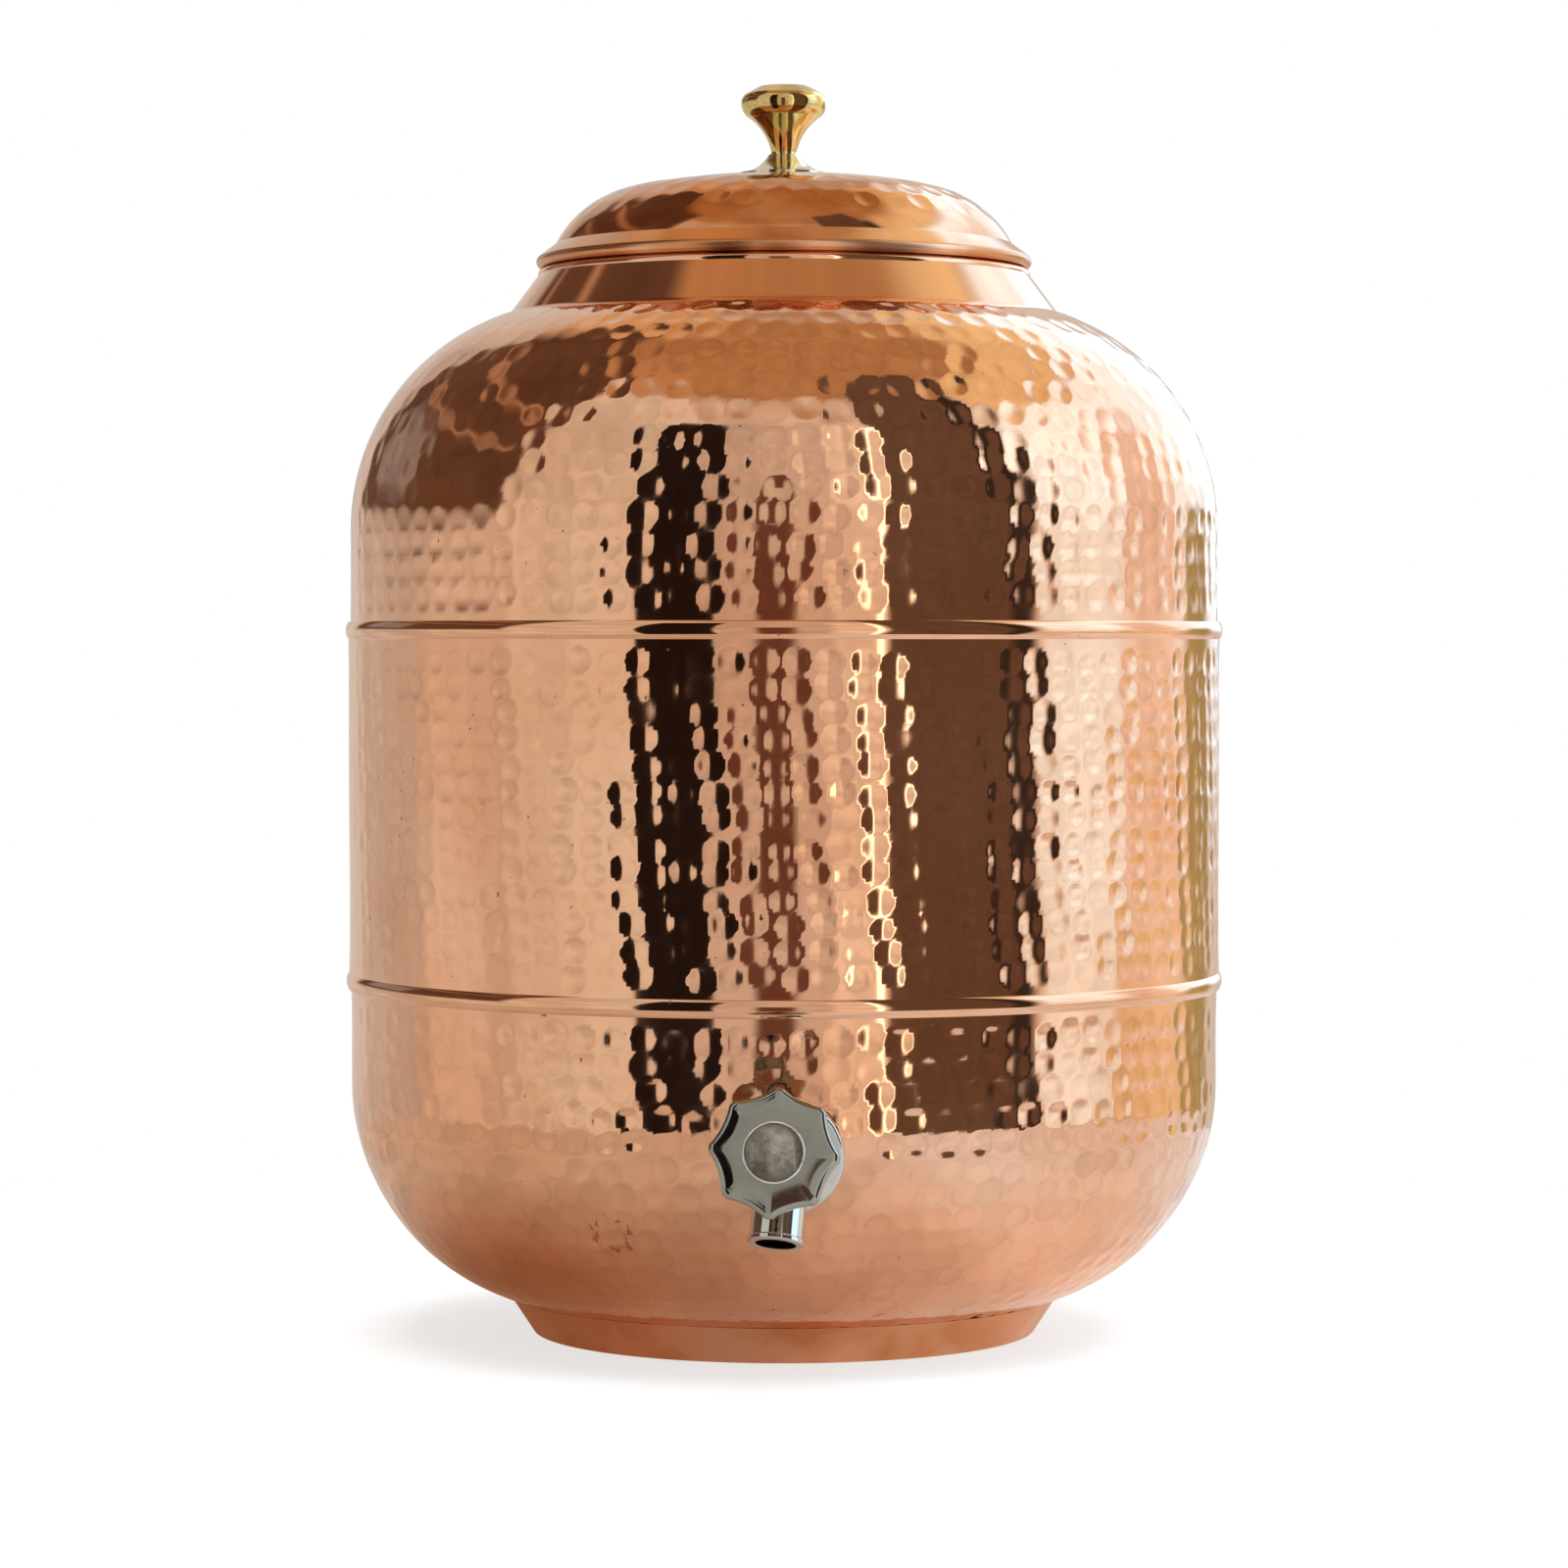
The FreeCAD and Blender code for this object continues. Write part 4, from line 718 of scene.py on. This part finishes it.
def star_handle(name, columns=384):
    """The handle: P(theta, v) = (r cos theta, r sin theta, z), closed round hub, star, ring and recess.

    Each row gives a height z and how r goes from a plain circle (share 0) to the star's outline
    (share 1). The edge of the face is a quarter of an ellipse, and the face itself is slightly domed.
    """
    own = sizes()
    theta = np.linspace(0.0, 2 * np.pi, columns, endpoint=False)
    outline = star_outline(theta)
    bend = own.star_round
    rows = [(HUB_BORE, 0.0, 0.0, HUB_BACK), (HUB_RADIUS - HUB_BEVEL, 0.0, 0.0, HUB_BACK),
            (HUB_RADIUS, 0.0, 0.0, HUB_BACK + HUB_BEVEL), (HUB_RADIUS, 0.0, 0.0, DISC_BACK),
            (DISC_HOLLOW, 0.0, 0.0, DISC_BACK + 0.0009)]
    rows += [(0.0, 1.0, BACK_ROUND * (1 - math.sin(a)), DISC_BACK + 0.0015 + BACK_ROUND * (1 - math.cos(a)))
             for a in np.linspace(0.0, math.pi / 2, 5)]
    rows += [(0.0, 1.0, bend * (1 - math.cos(a)), DISC_FRONT - 0.0004 - bend * 0.8 * (1 - math.sin(a)))
             for a in np.linspace(0.0, math.pi / 2 * 0.97, 14)]
    face_edge = rows[-1][3]
    for share in np.linspace(0.93, 0.0, 12):
        height = face_edge + (DISC_FRONT - face_edge) * (1 - share ** 2)
        rows.append((RING_MIDDLE + RING_HALF, share, bend * share, height))
    ring_row = len(rows)
    rows += [(RING_MIDDLE + RING_HALF * math.cos(a), 0.0, 0.0, DISC_FRONT + RING_RISE * math.sin(a))
             for a in np.linspace(0.25, math.pi, RING_ROWS)]
    rows += [(RECESS_RADIUS, 0.0, 0.0, DISC_FRONT - RECESS_DEPTH),
             (HOLE_RADIUS, 0.0, 0.0, DISC_FRONT - RECESS_DEPTH),
             (HOLE_RADIUS, 0.0, 0.0, DISC_FRONT - HOLE_DEPTH), (HUB_BORE, 0.0, 0.0, DISC_FRONT - BORE_DEPTH)]
    grid = np.empty((len(rows), columns, 3))
    for at, (plain, share, inset, height) in enumerate(rows):
        radius = plain * (1 - share) + (outline - inset) * share if share < 1 else outline - inset
        grid[at] = np.column_stack((radius * np.cos(theta), radius * np.sin(theta), np.full(columns, height)))
    column = np.arange(columns)
    following = (column + 1) % columns
    faces = []
    for row in range(len(rows)):
        upper = (row + 1) % len(rows)
        faces += np.stack((row * columns + column, row * columns + following,
                           upper * columns + following, upper * columns + column), -1).tolist()
    piece = finished_mesh(name, from_valve(grid.reshape(-1, 3)), faces)
    piece.data.set_sharp_from_angle(angle=math.radians(32.0))
    return piece, range(ring_row * columns, (ring_row + RING_ROWS) * columns)


# ---------------------------------------------------------------- operators
# The marks stop this far from a bead, from the mouth's crease and from the bowl's edge.
MARKS_FROM_BEAD, MARKS_FROM_CREASE, MARKS_FROM_EDGE = 0.0065, 0.0095, 0.007
# Where the marks begin on the bowl's corner and where the shoulder's crease lies on its dome, in degrees.
BOWL_MARKS_FROM, CREASE_TURN = 20.0, 73.0
# The lid's marks lie between these distances from the middle of the crown.
LID_MARKS_OUTER, LID_MARKS_INNER = 0.068, 0.016


class BuildOperator(bpy.types.Operator):
    """Base of the building steps"""

    bl_options = {"REGISTER", "UNDO"}


class DISPENSER_OT_stage(BuildOperator):
    """Pale floor, soft lights, surroundings and camera"""

    bl_idname = "dispenser.stage"
    bl_label = "Stage"

    def execute(self, context):
        make_floor()
        make_lights()
        make_surroundings(context.scene)
        make_camera(context.scene)
        return {"FINISHED"}


class DISPENSER_OT_bowl(BuildOperator):
    """Hammered bowl and its foot ring"""

    bl_idname = "dispenser.bowl"
    bl_label = "Bowl and foot"

    def execute(self, context):
        own = sizes()

        def marks(s, r):
            """Hammer marks over the part of the outline that was struck."""
            flat = own.body_radius - own.bowl_arc
            start = flat + own.bowl_arc * math.radians(BOWL_MARKS_FROM)
            skirt = BAND_LOW[2] - BOWL_LOW[2] - own.bowl_arc
            end = flat + own.bowl_arc * math.pi / 2 + skirt - MARKS_FROM_EDGE
            return hammer_marks(s, r, start, end, 11, (0.7, 1.0))

        bowl = turned_shell("hammered_bowl", bowl_outline(), own.columns, marks)
        worked = copper_finish("bowl_copper", 0.055, 0.0000015, 0.65, 0.0000050, struck=0.12,
                               ring=SCRATCH_PLACE)
        fit_out(bowl, worked, "tank", "copper", "base_bowl")
        satin = copper_finish("foot_copper", 0.24, 0.000006, 1.8, 0.00001, old=colours().deep_copper)
        foot = turned_shell("foot_ring_turned", foot_outline(), 360)
        fit_out(foot, satin, "tank", "copper", "foot_ring")
        return {"FINISHED"}


class DISPENSER_OT_band(BuildOperator):
    """Hammered middle band with its two beads"""

    bl_idname = "dispenser.band"
    bl_label = "Band"

    def execute(self, context):
        own = sizes()

        def marks(s, r):
            """Hammer marks over the part of the outline that was struck."""
            start = (BAND_HIGH[0] - own.bead_rise - own.body_radius) + 2 * own.bead_half + MARKS_FROM_BEAD
            end = start + (BAND_HIGH[2] - BAND_LOW[2]) - 4 * own.bead_half - 2 * MARKS_FROM_BEAD
            return hammer_marks(s, r, start, end, 23)

        band = turned_shell("hammered_band", band_outline(), own.columns, marks)
        fit_out(band, hammered_copper(), "tank", "copper", "wall_band")
        return {"FINISHED"}


class DISPENSER_OT_shoulder(BuildOperator):
    """Hammered shoulder, plain neck and curled mouth"""

    bl_idname = "dispenser.shoulder"
    bl_label = "Shoulder"

    def execute(self, context):
        own = sizes()

        def marks(s, r):
            """Hammer marks over the part of the outline that was struck."""
            straight = own.sheet + own.shoulder_start - SHOULDER_LOW[2]
            start = own.sheet + BAND_HIGH[2] - SHOULDER_LOW[2] + MARKS_FROM_BEAD
            end = straight + own.shoulder_arc * math.radians(CREASE_TURN) - MARKS_FROM_CREASE
            return hammer_marks(s, r, start, end, 37)

        shoulder = turned_shell("hammered_shoulder", shoulder_outline(), own.columns, marks)
        fit_out(shoulder, hammered_copper(), "tank", "copper", "shoulder_shell")
        return {"FINISHED"}


class DISPENSER_OT_lid(BuildOperator):
    """Hammered lid with its rolled edge"""

    bl_idname = "dispenser.lid"
    bl_label = "Lid"

    def execute(self, context):
        own = sizes()
        outline = lid_outline()
        total = sum(np.hypot(*np.diff(line, axis=0).T).sum() for line, _ in outline)

        def marks(s, r):
            """Hammer marks over the part of the outline that was struck."""
            return hammer_marks(s, r, total - LID_MARKS_OUTER, total - LID_MARKS_INNER, 41, (0.9, 0.8))

        lid = turned_shell("hammered_lid", outline, own.lid_columns, marks)
        worked = copper_finish("lid_copper", 0.07, 0.0000015, 2.2, 0.0000050, struck=0.12,
                               worn_below=LID_LOW[2] + 2 * own.lid_bead, old=colours().deep_copper)
        fit_out(lid, worked, "lid", "copper", "lid_shell")
        return {"FINISHED"}


class DISPENSER_OT_handle(BuildOperator):
    """Star handle of the tap"""

    bl_idname = "dispenser.handle"
    bl_label = "Handle"

    def execute(self, context):
        tones = colours()
        darker = tuple(part * 0.88 for part in tones.dull_chrome)
        plate = metal_finish("handle_plate", tones.dull_chrome, darker, 0.055, 0.0000006, 0.0000015)
        # The ring round the cap gets a plate much lighter than the handle's: partly a polished ring, partly a
        # painted highlight.
        bright = metal_finish("ring_plate_and_painted_highlight", (0.93, 0.93, 0.91), (0.80, 0.80, 0.78), 0.06, 0.0000006,
                              0.0000015)
        handle, ring_faces = star_handle("star_handle")
        fit_out(handle, plate, "handle", "chrome_plate", "tap_handle")
        handle.data.materials.append(bright)
        for index in ring_faces:
            handle.data.polygons[index].material_index = 1
        return {"FINISHED"}


class DISPENSER_OT_fittings(BuildOperator):
    """Finishes of the knob, the tap and the pieces inside"""

    bl_idname = "dispenser.fittings"
    bl_label = "Fittings"

    def execute(self, context):
        finish_fittings()
        return {"FINISHED"}


# ---------------------------------------------------------------- fittings
def finish_fittings():
    """Gives every node that stays as it is a finish of its own kind."""
    tones = colours()
    darker = lambda tone, share: tuple(part * share for part in tone)
    metal = lambda name, tone, share, *rest: metal_finish(name, tone, darker(tone, share), *rest)
    soft = lambda name, tone, share, *rest: soft_finish(name, tone, darker(tone, share), *rest)
    cap_centre = tuple(from_valve(np.array((0.0, 0.0, DISC_FRONT))))
    makers = {
        "copper": lambda: copper_finish("plain_copper", 0.10, 0.000002, 0.6, 0.000006),
        "polished_brass": lambda: metal("polished_brass", tones.brass, 0.8, 0.07, 0.0000015, 0.000004),
        "chrome_plate": lambda: metal("chrome_plate", tones.chrome, 0.86, 0.05, 0.0000008, 0.000002),
        "plain_brass": lambda: metal("plain_brass", tones.plain_brass, 0.7, 0.22, 0.000003, 0.00001),
        "steel": lambda: metal("steel", tones.steel, 0.7, 0.24, 0.000003, 0.00001),
        "silicone": lambda: soft("silicone", tones.silicone, 0.7, 0.5, 0.00003),
        "black_rubber": lambda: soft("black_rubber", tones.rubber, 0.6, 0.6, 0.00003),
        "white_packing": lambda: soft("white_packing", tones.packing, 0.85, 0.55, 0.00004),
        "clear_cap": lambda: clear_finish("clear_cap", cap_centre),
    }
    pale = metal("pale_brass_and_highlight", tones.pale_brass_and_highlight, 0.85, 0.12, 0.000002, 0.000006)
    made = {}
    for row in frame["record"]["subparts"]:
        slot, node = row["material_slot"], row["node"]
        if slot not in made:
            made[slot] = makers[slot]()
        for place in frame["nodes"][node].material_slots:
            # The knob's flared foot takes the paler brass, partly a painted highlight.
            place.material = pale if node == "knob_base" else made[slot]


# ---------------------------------------------------------------- stage
FLOOR_RADIUS = 0.50
CAMERA_PLACE = (0.0, -1.600, 0.2228)
CAMERA_TILT = 88.347
CAMERA_LENS = 113.42

# Surroundings: name, azimuths from and to, heights from and to, softness (all in degrees) and light.
# Azimuth 0 looks along -Y, and grows towards +X.
SURROUNDINGS = [
    ("ceiling", -200, 200, 58, 95, 7.0, (0.50, 0.300, 0.145)),
    ("left_wall", -200, -112, -95, 44, 7.0, (0.64, 0.61, 0.56)),
    ("left_gold", -170, -140, 44, 66, 6.0, (0.78, 0.55, 0.30)),
    ("left_cabinet", -150, -77, 3, 64, 3.0, (0.130, 0.072, 0.046)),
    ("cabinet_glass", -142, -119, 8, 24, 3.5, (0.30, 0.28, 0.28)),
    ("upper_shelf", -146, -86, 40, 42.5, 1.6, (0.46, 0.29, 0.18)),
    ("lower_shelf", -146, -84, 27, 29, 1.6, (0.42, 0.28, 0.19)),
    ("left_curtain", -76, -40, -95, 58, 2.0, (0.75, 0.74, 0.66)),
    ("middle_wall", -17, 13, -95, 48, 2.0, (0.64, 0.58, 0.52)),
    ("middle_post", -7, 3, -95, 15, 1.5, (0.150, 0.070, 0.048)),
    ("middle_light", 13, 27, -95, 48, 2.0, (0.93, 0.87, 0.76)),
    ("black_screen", -38.5, -18, -95, 47, 0.5, (0.018, 0.012, 0.010)),
    ("bright_slit", 23.8, 25.6, -95, 42, 0.3, (3.0, 2.8, 2.4)),
    ("right_cabinet", 27, 63, -95, 70, 1.0, (0.145, 0.094, 0.066)),
    ("right_shadow", 61, 68, -95, 60, 2.0, (0.040, 0.030, 0.026)),
    ("window", 71, 166, 0, 44, 3.5, (1.32, 1.78, 2.15)),
    ("window_low", 71, 97, -9, 3, 2.5, (1.05, 1.30, 1.45)),
    ("window_top", 72, 164, 45, 61, 5.0, (0.95, 0.80, 0.46)),
    ("pink_panel", 100, 124, -12, 30, 6.0, (0.98, 0.90, 0.84)),
    ("olive_sill", 96, 140, -14, -4, 2.5, (0.85, 0.74, 0.46)),
    ("olive_post", 130, 148, -12, 4, 4.0, (0.50, 0.44, 0.20)),
    ("window_foot", 70, 175, -60, -14, 6.0, (0.95, 0.92, 0.88)),
]


def make_floor():
    """A pale round table that glows: evenly white to the eye, and in the copper's reflections with a painted
    shadow and painted copper-coloured reflected light near the foot on the left, and painted light towards
    the right.
    """
    angle = np.linspace(0.0, 2 * np.pi, 128, endpoint=False)
    ring = np.column_stack((FLOOR_RADIUS * np.cos(angle), FLOOR_RADIUS * np.sin(angle), np.zeros(128)))
    floor = finished_mesh("floor", ring, [list(range(128))])
    material, tree, shader = new_finish("floor_paper")
    place = object_point(tree)
    cloud = between(tree, noise(tree, place, 5.0, 3.0), 0.3, 0.7)
    tone = blend_colours(tree, cloud, (0.325, 0.35, 0.37), (0.315, 0.34, 0.36))
    seen = tree.nodes.new("ShaderNodeLightPath").outputs["Is Camera Ray"]
    tree.links.new(blend_colours(tree, seen, (0.08, 0.07, 0.06), tone), shader.inputs["Base Color"])
    # For the copper's reflections the floor's glow is painted light: darker and copper-brown near the foot on
    # the left, a painted shadow with painted reflected copper, and lighter to the right and further out.
    side = add_node(tree, "ShaderNodeSeparateXYZ", Vector=place).outputs["X"]
    right = between(tree, side, -0.10, 0.14)
    away = add_node(tree, "ShaderNodeVectorMath", {"operation": "LENGTH"}, i0=place).outputs["Value"]
    far = between(tree, away, 0.10, 0.24)
    painted_floor_light = blend_colours(tree, far, blend_colours(tree, right, (0.285, 0.130, 0.066), (0.80, 0.68, 0.60)),
                         blend_colours(tree, right, (0.46, 0.42, 0.36), (0.66, 0.71, 0.76)))
    painted_floor_light = rippled(tree, painted_floor_light, place, 14.0)
    tree.links.new(blend_colours(tree, seen, painted_floor_light, (0.69, 0.69, 0.69)), shader.inputs["Emission Color"])
    shader.inputs["Emission Strength"].default_value = 1.0
    shader.inputs["Roughness"].default_value = 0.9
    floor.data.materials.append(material)


def make_lights():
    """One broad soft light overhead, kept out of the mirror-bright metal."""
    data = bpy.data.lights.new("overhead", "AREA")
    data.shape, data.size, data.size_y, data.energy = "RECTANGLE", 2.4, 2.0, 110.0
    data.color = (1.0, 0.98, 0.96)
    light = bpy.data.objects.new("overhead", data)
    light.location = (0.45, -0.1, 2.2)
    light.visible_glossy = False
    bpy.context.scene.collection.objects.link(light)


def make_surroundings(scene):
    """The room that the copper mirrors, as soft-edged panels by direction; plain white to the camera."""
    world = bpy.data.worlds.new("surroundings")
    scene.world = world
    world.use_nodes = True
    tree = world.node_tree
    tree.nodes.clear()
    way = tree.nodes.new("ShaderNodeTexCoord").outputs["Generated"]
    parts = add_node(tree, "ShaderNodeSeparateXYZ", Vector=way).outputs
    azimuth = maths(tree, "ARCTAN2", parts["X"], maths(tree, "MULTIPLY", parts["Y"], -1.0))
    azimuth = maths(tree, "MULTIPLY", azimuth, math.degrees(1.0))
    height = maths(tree, "MULTIPLY", maths(tree, "ARCSINE", parts["Z"]), math.degrees(1.0))
    light = (0.74, 0.68, 0.60)
    for _, west, east, low, high, soft, tone in SURROUNDINGS:
        share = maths(tree, "MULTIPLY", between(tree, azimuth, west - soft, west + soft),
                      between(tree, azimuth, east - soft, east + soft, 1.0, 0.0))
        share = maths(tree, "MULTIPLY", share, between(tree, height, low - soft, low + soft))
        share = maths(tree, "MULTIPLY", share, between(tree, height, high - soft, high + soft, 1.0, 0.0))
        light = blend_colours(tree, share, light, tone)
    light = rippled(tree, light, way, 4.0)
    seen = tree.nodes.new("ShaderNodeLightPath").outputs["Is Camera Ray"]
    light = blend_colours(tree, seen, light, (1.0, 1.0, 1.0))
    shader = add_node(tree, "ShaderNodeBackground", Color=light, Strength=1.0)
    out = tree.nodes.new("ShaderNodeOutputWorld")
    tree.links.new(shader.outputs[0], out.inputs["Surface"])
    scene.view_settings.view_transform = "Standard"


def make_camera(scene):
    """The camera, level with the middle of the tank and tilted a little down."""
    data = bpy.data.cameras.new("camera")
    data.sensor_width, data.lens = 36.0, CAMERA_LENS
    data.clip_start, data.clip_end = 0.05, 20.0
    camera = bpy.data.objects.new("camera", data)
    camera.location = CAMERA_PLACE
    camera.rotation_euler = (math.radians(CAMERA_TILT), 0.0, 0.0)
    scene.collection.objects.link(camera)
    scene.camera = camera


# ---------------------------------------------------------------- panel and registration
STEPS = (DISPENSER_OT_stage, DISPENSER_OT_bowl, DISPENSER_OT_band, DISPENSER_OT_shoulder, DISPENSER_OT_lid,
         DISPENSER_OT_handle, DISPENSER_OT_fittings)


class DISPENSER_PT_panel(bpy.types.Panel):
    """The building steps, with the sizes and colours they use"""

    bl_idname = "DISPENSER_PT_panel"
    bl_label = "Water Dispenser"
    bl_space_type = "VIEW_3D"
    bl_region_type = "UI"
    bl_category = "Dispenser"

    def draw(self, context):
        for step in STEPS:
            self.layout.operator(step.bl_idname)
        for group in (context.scene.dispenser_sizes, context.scene.dispenser_colours):
            box = self.layout.box()
            for name in group.__annotations__:
                box.prop(group, name)


CLASSES = (DispenserSizes, DispenserColours, *STEPS, DISPENSER_PT_panel)


def register():
    """Registers the classes and hangs the sizes and colours on the scene."""
    for one in CLASSES:
        bpy.utils.register_class(one)
    bpy.types.Scene.dispenser_sizes = PointerProperty(type=DispenserSizes)
    bpy.types.Scene.dispenser_colours = PointerProperty(type=DispenserColours)


def unregister():
    """Undoes register."""
    del bpy.types.Scene.dispenser_colours
    del bpy.types.Scene.dispenser_sizes
    for one in reversed(CLASSES):
        bpy.utils.unregister_class(one)


def main():
    register()
    bpy.ops.dispenser.stage()
    bpy.ops.dispenser.bowl()
    bpy.ops.dispenser.band()
    bpy.ops.dispenser.shoulder()
    bpy.ops.dispenser.lid()
    bpy.ops.dispenser.handle()
    bpy.ops.dispenser.fittings()


if __name__ == "__main__":
    main()
